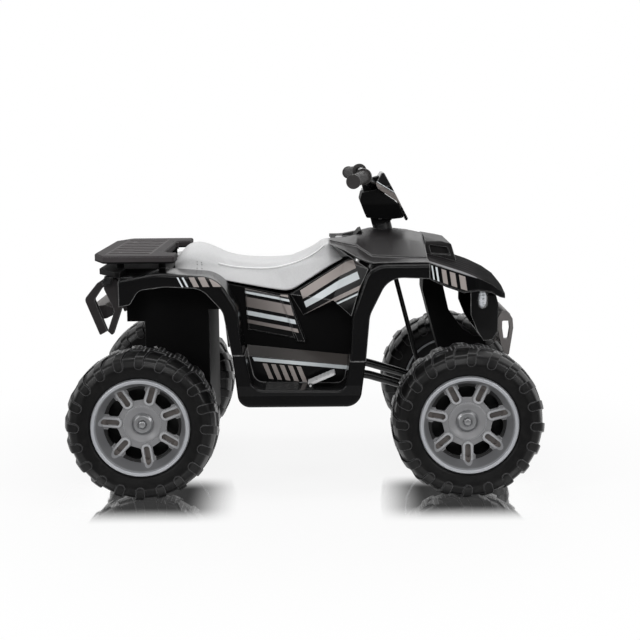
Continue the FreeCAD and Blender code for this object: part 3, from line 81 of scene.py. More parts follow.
# Two sides of a symmetric piece.
SIDES = (1.0, -1.0)


class Sock:
    """A shader value that takes part in Python expressions."""

    def __init__(self, graph: "Graph", socket: bpy.types.NodeSocket) -> None:
        """Keeps the graph and the socket that gives the value."""
        self.graph = graph
        self.socket = socket

    def math(self, operation: str, *others: Operand) -> "Sock":
        """Adds a Math node.

        Args:
            operation: Name of the operation of the node.
            others: Further operands after this value.

        Returns:
            The result as a value.
        """
        inputs = {0: self, **{index + 1: other for index, other in enumerate(others)}}
        return self.graph.node("ShaderNodeMath", {"operation": operation}, inputs)

    def __add__(self, other: Operand) -> "Sock":
        """This value plus another."""
        return self.math("ADD", other)

    __radd__ = __add__

    def __sub__(self, other: Operand) -> "Sock":
        """This value less another."""
        return self.math("SUBTRACT", other)

    def __rsub__(self, other: float) -> "Sock":
        """A number less this value."""
        return self.math("MULTIPLY_ADD", -1.0, other)

    def __mul__(self, other: Operand) -> "Sock":
        """This value times another."""
        return self.math("MULTIPLY", other)

    __rmul__ = __mul__

    def __gt__(self, other: Operand) -> "Sock":
        """One where this value is greater, else zero."""
        return self.math("GREATER_THAN", other)

    def __lt__(self, other: Operand) -> "Sock":
        """One where this value is less, else zero."""
        return self.math("LESS_THAN", other)

    def __or__(self, other: "Sock") -> "Sock":
        """The greater of two masks."""
        return self.math("MAXIMUM", other)

    def __abs__(self) -> "Sock":
        """The value without its sign."""
        return self.math("ABSOLUTE")

    def near(self, centre: Operand, half: float) -> "Sock":
        """One within a half width of a centre, else zero."""
        return self.math("COMPARE", centre, half)

    def between(self, low: float, high: float) -> "Sock":
        """One between two limits, else zero."""
        return (self > low) * (self < high)

    def bands(self, rows: Rows) -> "Sock":
        """One within any of several bands, else zero.

        Args:
            rows: Centre and half width of each band.

        Returns:
            The mask of all the bands.
        """
        mask = self.near(*rows[0])
        for row in rows[1:]:
            mask = mask | self.near(*row)
        return mask

    def fold(self, period: float) -> "Sock":
        """Triangle wave from 0 to half the period."""
        return self.math("PINGPONG", period / 2)

    def smooth(self, low: float, high: float) -> "Sock":
        """Soft step from 0 at low to 1 at high."""
        inputs = {"Value": self, "From Min": low, "From Max": high}
        return self.graph.node("ShaderNodeMapRange", {"interpolation_type": "SMOOTHSTEP"}, inputs)


class Graph:
    """A node tree under construction, for a material or the world."""

    def __init__(self, tree: bpy.types.NodeTree) -> None:
        """Keeps the tree that the nodes go into."""
        self.tree = tree

    def raw(self, kind: str, settings: Dict[str, Any], inputs: Dict[Any, Any]) -> bpy.types.Node:
        """Adds a node of any type.

        Args:
            kind: Type name of the node.
            settings: Properties of the node, set before its inputs.
            inputs: Values or links of the sockets, by name or index.

        Returns:
            The new node.
        """
        node = self.tree.nodes.new(kind)
        for key, value in settings.items():
            setattr(node, key, value)
        for key, value in inputs.items():
            self.feed(node.inputs[key], value)
        return node

    def feed(self, target: bpy.types.NodeSocket, value: Any) -> None:
        """Links a value to a socket, or sets the socket's own number or colour.

        Args:
            target: Input socket of a node.
            value: Shader value, output socket, number or colour.
        """
        if isinstance(value, Sock):
            self.tree.links.new(value.socket, target)
        elif isinstance(value, bpy.types.NodeSocket):
            self.tree.links.new(value, target)
        elif target.type == "RGBA" and len(value) == 3:
            target.default_value = (*value, 1.0)
        else:
            target.default_value = value

    def node(self, kind: str, settings: Dict[str, Any], inputs: Dict[Any, Any],
             output: Any = 0) -> Sock:
        """Adds a node and gives one of its outputs as a value."""
        return Sock(self, self.raw(kind, settings, inputs).outputs[output])

    def place(self, system: str = "Object") -> Sock:
        """Coordinates as a vector, in metres along the object's axes unless said otherwise."""
        return self.node("ShaderNodeTexCoord", {}, {}, system)

    def axes(self, system: str = "Object") -> Triple:
        """Coordinates as three values."""
        split = self.raw("ShaderNodeSeparateXYZ", {}, {0: self.place(system)})
        return tuple(Sock(self, output) for output in split.outputs)

    def rays(self) -> Triple:
        """Masks of camera, glossy and transmission rays, for the backdrop."""
        path, kinds = self.raw("ShaderNodeLightPath", {}, {}), ("Camera", "Glossy", "Transmission")
        return tuple(Sock(self, path.outputs[f"Is {kind} Ray"]) for kind in kinds)

    def noise(self, scale: float, detail: float, rough: float,
              stretch: Optional[Factors] = None) -> Sock:
        """Noise from 0 to 1 on object coordinates.

        Args:
            scale: Cells per metre.
            detail: Octaves.
            rough: Share that each octave keeps.
            stretch: Factors of the three axes, where the pattern is drawn out.

        Returns:
            The noise value.
        """
        place = self.place()
        if stretch is not None:
            place = self.node("ShaderNodeMapping", {}, {"Vector": place, "Scale": stretch})
        inputs = {"Vector": place, "Scale": scale, "Detail": detail, "Roughness": rough}
        return self.node("ShaderNodeTexNoise", {}, inputs, "Fac")

    def cells(self, scale: float) -> Sock:
        """Distance to the nearest of scattered cells, for pebble grain."""
        inputs = {"Vector": self.place(), "Scale": scale}
        return self.node("ShaderNodeTexVoronoi", {"feature": "SMOOTH_F1"}, inputs, "Distance")

    def mix(self, factor: Operand, low: Paint, high: Paint) -> Sock:
        """Blends two colours by a factor."""
        return self.node("ShaderNodeMix", {"data_type": "RGBA"}, {0: factor, 6: low, 7: high}, 2)

    def bump(self, height: Sock, depth: float, normal: Optional[Sock] = None) -> Sock:
        """Normal of a surface that is raised by a height.

        Args:
            height: Height from 0 to 1.
            depth: Depth of the whole range in metres.
            normal: Normal to start from, if not the plain one.

        Returns:
            The new normal.
        """
        inputs: Dict[str, Any] = {"Height": height, "Distance": depth, "Strength": 1.0}
        if normal is not None:
            inputs["Normal"] = normal
        return self.node("ShaderNodeBump", {}, inputs)


class Surface(Graph):
    """Material with one principled shader and helpers for edges and wheels."""

    def __init__(self, name: str) -> None:
        """Makes an empty node material."""
        self.material = bpy.data.materials.new(name)
        self.material.use_nodes = True
        super().__init__(self.material.node_tree)
        self.shader = self.tree.nodes["Principled BSDF"]

    def set(self, **inputs: Any) -> None:
        """Sets or links sockets of the shader, with each space in a name written as _."""
        for key, value in inputs.items():
            self.feed(self.shader.inputs[key.replace("_", " ")], value)

    def rounded(self, radius: float) -> Tuple[Sock, Sock]:
        """Rounded-edge normal and a mask of the edges.

        Args:
            radius: Edge radius in metres.

        Returns:
            The normal, and a mask that is 1 on the edges.
        """
        normal = self.node("ShaderNodeBevel", {"samples": 6}, {"Radius": radius})
        flat = self.node("ShaderNodeNewGeometry", {}, {}, "Normal")
        product = {"operation": "DOT_PRODUCT"}
        dot = self.node("ShaderNodeVectorMath", product, {0: normal, 1: flat}, "Value")
        return normal, (1 - dot).smooth(0.02, 0.16)

    def around(self, wheel_x: float) -> Triple:
        """Place relative to the axle of a wheel.

        Args:
            wheel_x: Wheel centre along the bike.

        Returns:
            Distance ahead of the axle, distance above it, and distance from it.
        """
        x, _, z = self.axes()
        ahead, above = x - wheel_x, z - AXLE_Z
        return ahead, above, (ahead * ahead + above * above).math("SQRT")


BLACK: Colour = (0.0038, 0.0038, 0.0041)
TAUPE: Colour = (0.33, 0.295, 0.28)
SILVER: Colour = (0.64, 0.68, 0.70)


def scaled(colour: Colour, factor: float) -> Colour:
    """Colour made darker or lighter by a factor."""
    return tuple(min(part * factor, 1.0) for part in colour)


def slanted(axes: Triple, factors: Factors) -> Sock:
    """Measure along a slanted line.

    Args:
        axes: Three coordinates.
        factors: Factor of each coordinate; one with factor zero is left out.

    Returns:
        The sum of the coordinates times their factors.
    """
    parts = [axis * factor for axis, factor in zip(axes, factors) if factor]
    return sum(parts[1:], parts[0])


class Motif(Enum):
    """Stripes, shaded areas and ribs that a moulding can carry."""

    NONE = "none"
    REAR_BARS = "rear_bars"
    NOSE_BARS = "nose_bars"
    SIDE_BANDS = "side_bands"
    KNEE_BANDS = "knee_bands"
    FOOT_BARS = "foot_bars"
    SHIELD_BAND = "shield_band"
    HOOD_COLLAR = "hood_collar"
    RACK_SLATS = "rack_slats"
    TAIL_BOX = "tail_box"


@dataclass(frozen=True)
class Bands:
    """Parallel bands on a moulding, cut off by planes.

    Each measure has a factor of x, of the distance from the middle plane, and of z.
    """

    measure: Factors
    rows: Rows
    limits: Limits
    share: float = 1.0

    def mask(self, axes: Triple) -> Sock:
        """Mask of the bands within their limits.

        Args:
            axes: x, distance from the middle plane, and z.

        Returns:
            The mask, as strong as the share of these bands.
        """
        mask = slanted(axes, self.measure).bands(self.rows) * self.share
        for factors, low, high in self.limits:
            mask = mask * slanted(axes, factors).between(low, high)
        return mask


# Measures on the mouldings, and a limit that is never reached.
AHEAD: Factors = (1.0, 0.0, 0.0)
OUT: Factors = (0.0, 1.0, 0.0)
UP: Factors = (0.0, 0.0, 1.0)
NOSE: Factors = (0.36, 0.0, 1.0)
REAR_ACROSS: Factors = (1.0, 0.0, 0.5)
NOSE_ACROSS: Factors = (1.0, 0.0, 0.15)
SIDE_UP: Factors = (0.2, 0.0, 1.0)
KNEE_UP: Factors = (-0.62, 0.0, 1.0)
FOOT_ACROSS: Factors = (1.0, 0.0, 0.4)
FOOT_UP: Factors = (0.1, 0.0, 1.0)
SHIELD_UP: Factors = (0.62, 0.0, 1.0)
FAR = 9.0

# Height of the crease of the nose in its measure, outer side of the nose, and its ribs.
CREASE = 0.6735
NOSE_SIDE = 0.236
RIB_PITCH, RIB_DEPTH = 0.030, 0.0012

# A point on the steering column, its lean in degrees, and the radius of its collar.
COLUMN_X, COLUMN_Z, COLUMN_LEAN = 0.2, 0.63, 14.46
COLLAR_RADIUS = 0.0250

# Outlines of the striped areas.
REAR_SKIN: Limits = ((OUT, 0.2715, FAR), (UP, 0.5115, 0.5345))
NOSE_SKIN: Limits = ((OUT, NOSE_SIDE, FAR), (NOSE, CREASE - 0.039, CREASE - 0.007))
SIDE_CUT: Limits = (((1.0, 0.0, 0.28), -0.070, 0.092),)
KNEE_CUT: Limits = (((1.0, 0.0, 0.35), 0.16, 0.318),)
FOOT_FACE: Limits = ((OUT, 0.1765, 0.1795),)
SHIELD_CUT: Limits = ((OUT, 0.05, FAR),)

# Taupe and silver stripes of each striped motif.
STRIPES: Dict[Motif, Tuple[Bands, Bands]] = {
    Motif.REAR_BARS: (
        Bands(REAR_ACROSS, ((0.002, 0.0065), (0.025, 0.0080), (0.051, 0.0095)), REAR_SKIN),
        Bands(REAR_ACROSS, ((-0.019, 0.0025), (-0.031, 0.0020)), REAR_SKIN),
    ),
    Motif.NOSE_BARS: (
        Bands(NOSE_ACROSS, ((0.4155, 0.0055), (0.4355, 0.0065), (0.458, 0.0075)), NOSE_SKIN),
        Bands(NOSE_ACROSS, ((0.399, 0.0022), (0.389, 0.0017)), NOSE_SKIN),
    ),
    Motif.SIDE_BANDS: (
        Bands(SIDE_UP, ((0.4300, 0.0125), (0.4640, 0.0028), (0.3820, 0.0045)), SIDE_CUT),
        Bands(SIDE_UP, ((0.4535, 0.0030), (0.4030, 0.0055)), SIDE_CUT),
    ),
    Motif.KNEE_BANDS: (
        Bands(KNEE_UP, ((0.480, 0.0120), (0.4225, 0.0045)), KNEE_CUT),
        Bands(KNEE_UP, ((0.4505, 0.0090), (0.4105, 0.0022)), KNEE_CUT),
    ),
    Motif.FOOT_BARS: (
        Bands(FOOT_ACROSS, tuple((0.024 + 0.020 * bar, 0.0056) for bar in range(5)),
              FOOT_FACE + ((FOOT_UP, 0.2600, 0.2975),)),
        Bands(FOOT_UP, ((0.3060, 0.0046),), FOOT_FACE + ((FOOT_ACROSS, 0.0, 0.225),)),
    ),
    Motif.SHIELD_BAND: (
        Bands(SHIELD_UP, ((0.8465, 0.0115),), SHIELD_CUT, 0.6),
        Bands(SHIELD_UP, ((0.8610, 0.0012),), SHIELD_CUT),
    ),
}

# Slope that leads down into a footwell.
FOOT_SLOPE = Bands(OUT, ((0.1655, 0.0120),), (((0.108, 0.0, 1.0), 0.3122, FAR),))

# Plain areas that differ in colour from the rest of a moulding.
RACK_DECK: Rows = ((-0.426, 0.056),)
RACK_SPAN: Tuple[Factors, float, float] = (OUT, -FAR, 0.20)
RACK_TOP, RACK_UNDERSIDE = 0.5815, 0.5690
SHADES: Dict[Motif, Tuple[Tuple[Bands, Colour], ...]] = {
    Motif.FOOT_BARS: (
        (Bands(UP, ((0.2575, 0.0120),), ((OUT, 0.1820, 0.2800),)), (0.009, 0.009, 0.0093)),
    ),
    Motif.RACK_SLATS: (
        # Slat tops painted paler: painted highlight on the lit tops.
        (Bands(AHEAD, RACK_DECK, (RACK_SPAN, (UP, RACK_TOP, FAR))), (0.085, 0.078, 0.080)),
        # Black in the slots and along the bottom band: painted shade.
        (Bands(AHEAD, RACK_DECK, (RACK_SPAN, (UP, -FAR, RACK_TOP))), BLACK),
        (Bands(UP, ((0.0, RACK_UNDERSIDE),), ()), BLACK),
    ),
    Motif.TAIL_BOX: (
        (Bands(OUT, ((0.0, 0.1855),), ()), (0.15, 0.135, 0.128)),
    ),
}

# Taupe stripes that fade into the dark: index of the coordinate, dark end and full end.
FADES: Dict[Motif, Tuple[int, float, float]] = {
    Motif.SIDE_BANDS: (0, -0.16, 0.02),
    Motif.KNEE_BANDS: (2, 0.40, 0.50),
}


@dataclass(frozen=True)
class Finish:
    """A named finish; each kind sets up the shader in its own way."""

    name: str

    def paint(self, g: Surface) -> None:
        """Sets up the shader of a new material."""
        raise NotImplementedError

    def build(self) -> bpy.types.Material:
        """Makes the material."""
        g = Surface(self.name)
        self.paint(g)
        return g.material


@dataclass
class Coating:
    """Colour, gloss and normal of a moulding while its trims are laid on."""

    g: Surface
    edges: Sock
    patchy: Sock
    tint: Sock
    gloss: Sock
    normal: Sock
    marks: Optional[Sock] = None

    def shade(self, area: Sock, colour: Paint) -> None:
        """Lays a colour over an area."""
        self.tint = self.g.mix(area, self.tint, colour)

    def polish(self, area: Sock, change: float) -> None:
        """Changes the roughness of an area."""
        self.gloss = self.gloss + area * change


@dataclass(frozen=True)
class Plastic(Finish):
    """Injection-moulded plastic or paint with grain, uneven gloss and paler edges that are a
    painted highlight, partly wear.
    """

    colour: Colour
    rough: float
    grain: float = 1400.0
    depth: float = 0.00002
    radius: float = 0.0016
    # How much paler the edges are: a painted highlight, partly wear.
    edge: float = 0.02
    uneven: float = 0.06
    specular: float = 0.2
    metallic: float = 0.0
    motif: Motif = Motif.NONE
    print_rough: float = 0.34
    skirt_rough: float = 0.2

    def edge_highlight_colour(self) -> Colour:
        """Colour of the edges: a painted highlight, partly wear."""
        return tuple(min(part + self.edge, 1.0) for part in self.colour)

    def plain(self, g: Surface) -> Coating:
        """Look of the moulding without its trims.

        Args:
            g: Surface of the new material.

        Returns:
            The colour, gloss and normal to lay the trims on.
        """
        normal, edges = g.rounded(self.radius)
        patchy = g.noise(9.0, 4.0, 0.6)
        grain = g.noise(self.grain, 2.0, 0.6)
        dusty = g.noise(60.0, 5.0, 0.7).smooth(0.45, 0.8)
        tint = g.mix(patchy.smooth(0.3, 0.7), scaled(self.colour, 0.82), self.colour)
        # Edges painted paler, more where the dust noise is high: a painted highlight, partly wear.
        tint = g.mix(edges * (0.5 + dusty * 0.5), tint, self.edge_highlight_colour())
        gloss = self.rough - self.uneven * 0.5 + patchy * self.uneven + dusty * (self.uneven * 0.6)
        return Coating(g, edges, patchy, tint, gloss, g.bump(grain, self.depth, normal))

    def stripes(self, coat: Coating, axes: Triple) -> None:
        """Lays the taupe and silver stripes of the motif on.

        Args:
            coat: Look of the moulding so far.
            axes: x, distance from the middle plane, and z.
        """
        taupe, silver = (bands.mask(axes) for bands in STRIPES[self.motif])
        along, deepest = coat.patchy, 0.9
        if self.motif in FADES:
            index, dark, full = FADES[self.motif]
            along, deepest = axes[index].smooth(dark, full), 0.45
        coat.marks = taupe | silver
        coat.shade(taupe, coat.g.mix(along, scaled(TAUPE, deepest), TAUPE))
        coat.shade(silver, coat.g.mix(coat.patchy, scaled(SILVER, 0.93), SILVER))
        coat.polish(coat.marks, self.print_rough - self.rough)

    def nose(self, coat: Coating, axes: Triple) -> None:
        """Makes the skirt of the nose black and polished, paints shade on its tip and a highlight
        along its crease, and adds fine ribs on top with painted shade between them.

        Args:
            coat: Look of the moulding so far, with its stripes.
            axes: x, distance from the middle plane, and z.
        """
        x, out, _ = axes
        level = slanted(axes, NOSE) - CREASE
        skirt, tip = level < -0.002, x.smooth(0.405, 0.440)
        crease_highlight = (1 - abs(level).smooth(0.0008, 0.0034)) * (out > NOSE_SIDE)
        shaded_grooves = out.fold(RIB_PITCH).smooth(0.0030, 0.0060) * (level > 0.003)
        # Black skirt whose edges carry a painted highlight.
        coat.shade(skirt * (1 - coat.marks), coat.g.mix(coat.edges * 0.5, BLACK, self.edge_highlight_colour()))
        # Darker nose tip: painted shade.
        coat.shade(tip * (1 - coat.edges) * 0.8, BLACK)
        # Pale line along the crease: painted highlight.
        coat.shade(crease_highlight * (1 - tip), (0.30, 0.30, 0.31))
        coat.polish(skirt * (1 - tip), self.skirt_rough - self.rough)
        # Furrows between the ribs darkened: painted shade.
        coat.shade(shaded_grooves * 0.75, BLACK)
        coat.normal = coat.g.bump(1 - shaded_grooves, RIB_DEPTH, coat.normal)

    def footwell(self, coat: Coating, axes: Triple) -> None:
        """Lightens the slope that leads down into a footwell, more so to the front."""
        slope = FOOT_SLOPE.mask(axes) * (0.35 + axes[0].smooth(-0.12, 0.14) * 0.6)
        coat.shade(slope, (0.085, 0.077, 0.073))

    def collar(self, coat: Coating, axes: Triple) -> None:
        """Blackens the steering collar on the hood, round the leaning column.

        Args:
            coat: Look of the moulding so far.
            axes: x, distance from the middle plane, and z.
        """
        x, out, z = axes
        lean = math.radians(COLUMN_LEAN)
        across = (x - COLUMN_X) * math.cos(lean) + (z - COLUMN_Z) * math.sin(lean)
        coat.shade((out * out + across * across) < COLLAR_RADIUS ** 2, BLACK)

    def trim(self, coat: Coating) -> None:
        """Lays the stripes, forms and shaded areas of the motif on.

        Args:
            coat: Look of the plain moulding.
        """
        x, y, z = coat.g.axes()
        axes = (x, abs(y), z)
        if self.motif in STRIPES:
            self.stripes(coat, axes)
        trims: Dict[Motif, Callable[[Coating, Triple], None]] = {
            Motif.NOSE_BARS: self.nose,
            Motif.FOOT_BARS: self.footwell,
            Motif.HOOD_COLLAR: self.collar,
        }
        if self.motif in trims:
            trims[self.motif](coat, axes)
        for area, colour in SHADES.get(self.motif, ()):
            coat.shade(area.mask(axes), colour)

    def paint(self, g: Surface) -> None:
        """Sets up the shader: the plain moulding first, then its motif.

        Args:
            g: Surface of the new material.
        """
        coat = self.plain(g)
        if self.motif is not Motif.NONE:
            self.trim(coat)
        g.set(Base_Color=coat.tint, Roughness=coat.gloss, Normal=coat.normal)
        g.set(Metallic=self.metallic, Specular_IOR_Level=self.specular)


@dataclass(frozen=True)
class TyreRubber(Finish):
    """Blown rubber with fine grain, moulding rings on the sidewall, dust in the grain, and painted
    highlights on the edges and on the outer ends of the fine teeth.
    """

    wheel_x: float
    shoulder: float = 0.1495
    tooth_root: float = 0.1818

    def paint(self, g: Surface) -> None:
        """Sets up the shader.

        Args:
            g: Surface of the new material.
        """
        normal, edges = g.rounded(0.0038)
        ahead, above, radius = g.around(self.wheel_x)
        rings = radius.fold(0.0032).smooth(0.0002, 0.0009) * radius.near(0.1315, 0.0065)
        grain = g.noise(1100.0, 3.0, 0.65)
        dusty = g.noise(45.0, 5.0, 0.7).smooth(0.4, 0.75)
        turn = above.math("ARCTAN2", ahead) * AXLE_Z
        highlit_tips = turn.fold(0.0104).smooth(0.0030, 0.0042) * (radius > self.tooth_root)
        tint = g.mix(dusty, (0.0042, 0.0041, 0.0043), (0.0080, 0.0077, 0.0076))
        # Edges painted paler: painted highlight.
        tint = g.mix(edges * 0.8, tint, (0.105, 0.105, 0.108))
        # Outer ends of the fine teeth painted paler: painted highlight.
        tint = g.mix(highlit_tips, tint, (0.17, 0.17, 0.173))
        g.set(Base_Color=tint, Roughness=0.36 + dusty * 0.12 + grain * 0.05)
        g.set(Normal=g.bump(grain * 0.35 + rings * 0.65, 0.0002, normal), Specular_IOR_Level=0.16)
        g.set(Coat_Weight=(radius > self.shoulder) * 0.25, Coat_Roughness=0.24)


@dataclass(frozen=True)
class WheelSilver(Finish):
    """Satin silver moulding; its warm grey slots, black interior and darker barrel slope are
    painted shade, its light frames round the slots and its edges painted highlight.
    """

    wheel_x: float
    spin: float
    spokes: int = 7
    floor: float = 0.0135
    face: float = 0.056
    slot_middle: float = 0.0760
    slot_half: float = 0.0150
    slot_radius: float = 0.0068

    def paint(self, g: Surface) -> None:
        """Sets up the shader.

        Args:
            g: Surface of the new material.
        """
        normal, edges = g.rounded(0.0022)
        ahead, above, radius = g.around(self.wheel_x)
        deep = abs(g.axes()[1]) - HALF_TRACK
        angle = ahead.math("ARCTAN2", above) + math.radians(self.spin)
        off = angle.fold(2 * math.pi / self.spokes) * radius
        front = deep.between(self.floor, self.face)
        beyond = (abs(radius - self.slot_middle) - self.slot_half).math("MAXIMUM", 0.0)
        reach = (off * off + beyond * beyond).math("SQRT")
        # Slots painted dark warm grey and carried on past the real ones onto the barrel: painted
        # shade of the recesses.
        shaded_slot = (reach < self.slot_radius) * front
        # Pale rings round the slots: painted highlight of raised frames.
        frame = reach.near(self.slot_radius + 0.0024, 0.0022) * front
        # Windows painted black past their real edges, and all behind the spoke faces black: painted
        # shade.
        shaded_window = (off > 0.0185) * radius.near(0.0860, 0.0080) * front
        shaded_inside = ((deep < self.floor) * (radius < 0.1135)) | shaded_window
        # Darker barrel slope: painted shade.
        slope = radius.near(0.1005, 0.0070) * (deep < self.face)
        lip = (deep > 0.060) | ((radius > 0.1075) * 0.6)
        flake = g.noise(2600.0, 1.0, 0.5)
        patchy = g.noise(16.0, 4.0, 0.6)
        tint = g.mix(patchy, (0.205, 0.205, 0.212), (0.235, 0.235, 0.242))
        tint = g.mix(slope * 0.55, tint, (0.125, 0.127, 0.134))
        tint = g.mix(lip * 0.8, tint, (0.54, 0.555, 0.585))
        # Edges and frames round the slots painted paler: painted highlight.
        tint = g.mix(edges * 0.7 | frame * 0.45, tint, (0.60, 0.61, 0.63))
        tint = g.mix(shaded_slot, tint, g.mix(patchy, (0.085, 0.075, 0.070), (0.130, 0.115, 0.108)))
        tint = g.mix(shaded_inside, tint, (0.004, 0.004, 0.0042))
        g.set(Base_Color=tint, Roughness=0.34 + patchy * 0.1, Metallic=0.1 + lip * 0.4)
        g.set(Normal=g.bump(flake, 0.00001, normal))


@dataclass(frozen=True)
class Metal(Finish):
    """Plated or bare metal with fine turning marks, tarnish and a painted highlight on its edges.
    """

    colour: Colour
    rough: float

    def paint(self, g: Surface) -> None:
        """Sets up the shader.

        Args:
            g: Surface of the new material.
        """
        normal, edges = g.rounded(0.0006)
        tarnish = g.noise(120.0, 4.0, 0.65)
        marks = g.noise(900.0, 2.0, 0.5, (1.0, 0.05, 1.0))
        tint = g.mix(tarnish, scaled(self.colour, 0.7), self.colour)
        # Edges painted a third paler: painted highlight.
        tint = g.mix(edges * 0.5, tint, scaled(self.colour, 1.3))
        g.set(Base_Color=tint, Metallic=1.0, Roughness=self.rough + tarnish * 0.15)
        g.set(Normal=g.bump(marks, 0.00001, normal))


@dataclass(frozen=True)
class Leather(Finish):
    """Silver-grey seat cover with pebble grain, soft wrinkles and a slight sheen."""

    colour: Colour

    def paint(self, g: Surface) -> None:
        """Sets up the shader.

        Args:
            g: Surface of the new material.
        """
        pebble = g.cells(520.0)
        fine = g.noise(1500.0, 2.0, 0.6)
        wrinkle = g.noise(34.0, 5.0, 0.62, (1.0, 0.45, 1.0)).smooth(0.35, 0.7)
        patchy = g.noise(7.0, 3.0, 0.5)
        tint = g.mix(pebble.smooth(0.1, 0.75), self.colour, scaled(self.colour, 0.86))
        tint = g.mix(patchy.smooth(0.35, 0.75) * 0.5, tint, scaled(self.colour, 0.9))
        height = pebble * -0.6 + fine * 0.2 + wrinkle * 0.5
        g.set(Base_Color=tint, Roughness=0.36 + pebble * 0.14 + patchy * 0.06)
        g.set(Normal=g.bump(height, 0.00035), Specular_IOR_Level=0.55)


@dataclass(frozen=True)
class Lens(Finish):
    """Clear moulded lens with fine level flutes."""

    colour: Colour

    def paint(self, g: Surface) -> None:
        """Sets up the shader.

        Args:
            g: Surface of the new material.
        """
        _, _, z = g.axes()
        flutes = z.fold(0.006).smooth(0.0, 0.003)
        smudge = g.noise(80.0, 4.0, 0.6)
        g.set(Base_Color=g.mix(smudge, self.colour, scaled(self.colour, 0.94)))
        g.set(Roughness=0.03 + smudge * 0.05, Normal=g.bump(flutes, 0.0003))
        g.set(Transmission_Weight=0.92, IOR=1.46)


class Paintbox:
    """All finishes of the bike, made once and handed out by name."""

    def __init__(self) -> None:
        """Makes every material."""
        glossy = {"rough": 0.16, "edge": 0.42, "depth": 0.000004, "grain": 300.0, "uneven": 0.05,
                  "radius": 0.0042}
        finishes: List[Finish] = [
            Plastic("gloss_black", BLACK, **glossy),
            Plastic("rear_arch_black", BLACK, motif=Motif.REAR_BARS, **glossy),
            Plastic("side_panel_black", BLACK, motif=Motif.SIDE_BANDS, **glossy),
            Plastic("knee_panel_black", BLACK, motif=Motif.KNEE_BANDS, **glossy),
            Plastic("footwell_black", BLACK, motif=Motif.FOOT_BARS, **glossy),
            Plastic("shield_black", BLACK, motif=Motif.SHIELD_BAND, **glossy),
            Plastic("satin_black", (0.0042, 0.0042, 0.0044), 0.55, edge=0.08, radius=0.003,
                    specular=0.05),
            Plastic("hood_grey", (0.0175, 0.0158, 0.0165), 0.44, depth=0.00006, edge=0.46,
                    radius=0.0052, specular=0.34, motif=Motif.HOOD_COLLAR),
            Plastic("vent_black", (0.014, 0.013, 0.0133), 0.45, depth=0.00004, edge=0.30,
                    radius=0.0036, specular=0.12),
            Plastic("nose_grey", (0.030, 0.0278, 0.0287), 0.8, depth=0.00004, edge=0.30,
                    radius=0.0042, specular=0.03, motif=Motif.NOSE_BARS),
            Plastic("trim_grey", (0.044, 0.0395, 0.041), 0.65, depth=0.00006, edge=0.18,
                    radius=0.0026, specular=0.08, motif=Motif.RACK_SLATS),
            Plastic("tail_grey", (0.026, 0.0235, 0.024), 0.5, depth=0.00006, edge=0.22,
                    radius=0.0036, specular=0.15, motif=Motif.TAIL_BOX),
            Plastic("lens_smoke", (0.012, 0.012, 0.013), 0.08, depth=0.000004, edge=0.50,
                    radius=0.0022, specular=0.5),
            Plastic("guard_grey", (0.16, 0.150, 0.147), 0.4, depth=0.00004, edge=0.25,
                    radius=0.0024),
            Plastic("grip_rubber", (0.034, 0.031, 0.0305), 0.55, grain=1800.0, depth=0.00008,
                    edge=0.10, specular=0.25),
            Plastic("black_steel", (0.0055, 0.0055, 0.0058), 0.22, grain=500.0, depth=0.00001,
                    edge=0.10, specular=0.4),
            Plastic("pedal_silver", (0.62, 0.62, 0.625), 0.4, edge=0.1, metallic=0.1),
            TyreRubber("tyre_front", HALF_BASE),
            TyreRubber("tyre_rear", -HALF_BASE),
            WheelSilver("rim_front_left", HALF_BASE, 10.0),
            WheelSilver("rim_front_right", HALF_BASE, -24.5),
            WheelSilver("rim_rear_left", -HALF_BASE, 31.0),
            WheelSilver("rim_rear_right", -HALF_BASE, -17.5),
            Metal("cap_silver", (0.46, 0.465, 0.475), 0.30),
            Metal("zinc_steel", (0.55, 0.55, 0.56), 0.25),
            Metal("reflector", (0.85, 0.86, 0.88), 0.12),
            Leather("seat_leather", (0.57, 0.572, 0.577)),
            # Near-white welts: painted highlight along the creases of the seat.
            Leather("highlit_seat_piping", (0.93, 0.932, 0.935)),
            Leather("seat_thread", (0.30, 0.302, 0.305)),
            Lens("lens_clear", (0.93, 0.95, 0.97)),
        ]
        self.made: Dict[str, bpy.types.Material] = {item.name: item.build() for item in finishes}

    def dress(self, piece: bpy.types.Object, finish: str) -> None:
        """Gives a piece one finish."""
        piece.data.materials.clear()
        piece.data.materials.append(self.made[finish])


def new_piece(name: str, bm: bmesh.types.BMesh, smooth_angle: float) -> bpy.types.Object:
    """Turns a finished bmesh into an object at the origin.

    Args:
        name: Name of the piece.
        bm: Mesh in the frame of the bike; it is freed.
        smooth_angle: Edges sharper than this stay sharp, in degrees.

    Returns:
        The new object.
    """
    bmesh.ops.remove_doubles(bm, verts=bm.verts, dist=1e-6)
    bmesh.ops.recalc_face_normals(bm, faces=bm.faces)
    for face in bm.faces:
        face.smooth = True
    for edge in bm.edges:
        edge.smooth = edge.calc_face_angle(0.0) < math.radians(smooth_angle)
    mesh = bpy.data.meshes.new(name)
    bm.to_mesh(mesh)
    bm.free()
    piece = bpy.data.objects.new(name, mesh)
    bpy.context.scene.collection.objects.link(piece)
    return piece


def mirrored(bm: bmesh.types.BMesh) -> None:
    """Adds the mirror image of a left piece on the right."""
    bmesh.ops.mirror(bm, geom=bm.verts[:] + bm.edges[:] + bm.faces[:], axis="Y", merge_dist=-1)


def smooth_faces(mesh: bpy.types.Mesh) -> None:
    """Shades all the faces of a mesh as one curved surface."""
    mesh.polygons.foreach_set("use_smooth", [True] * len(mesh.polygons))


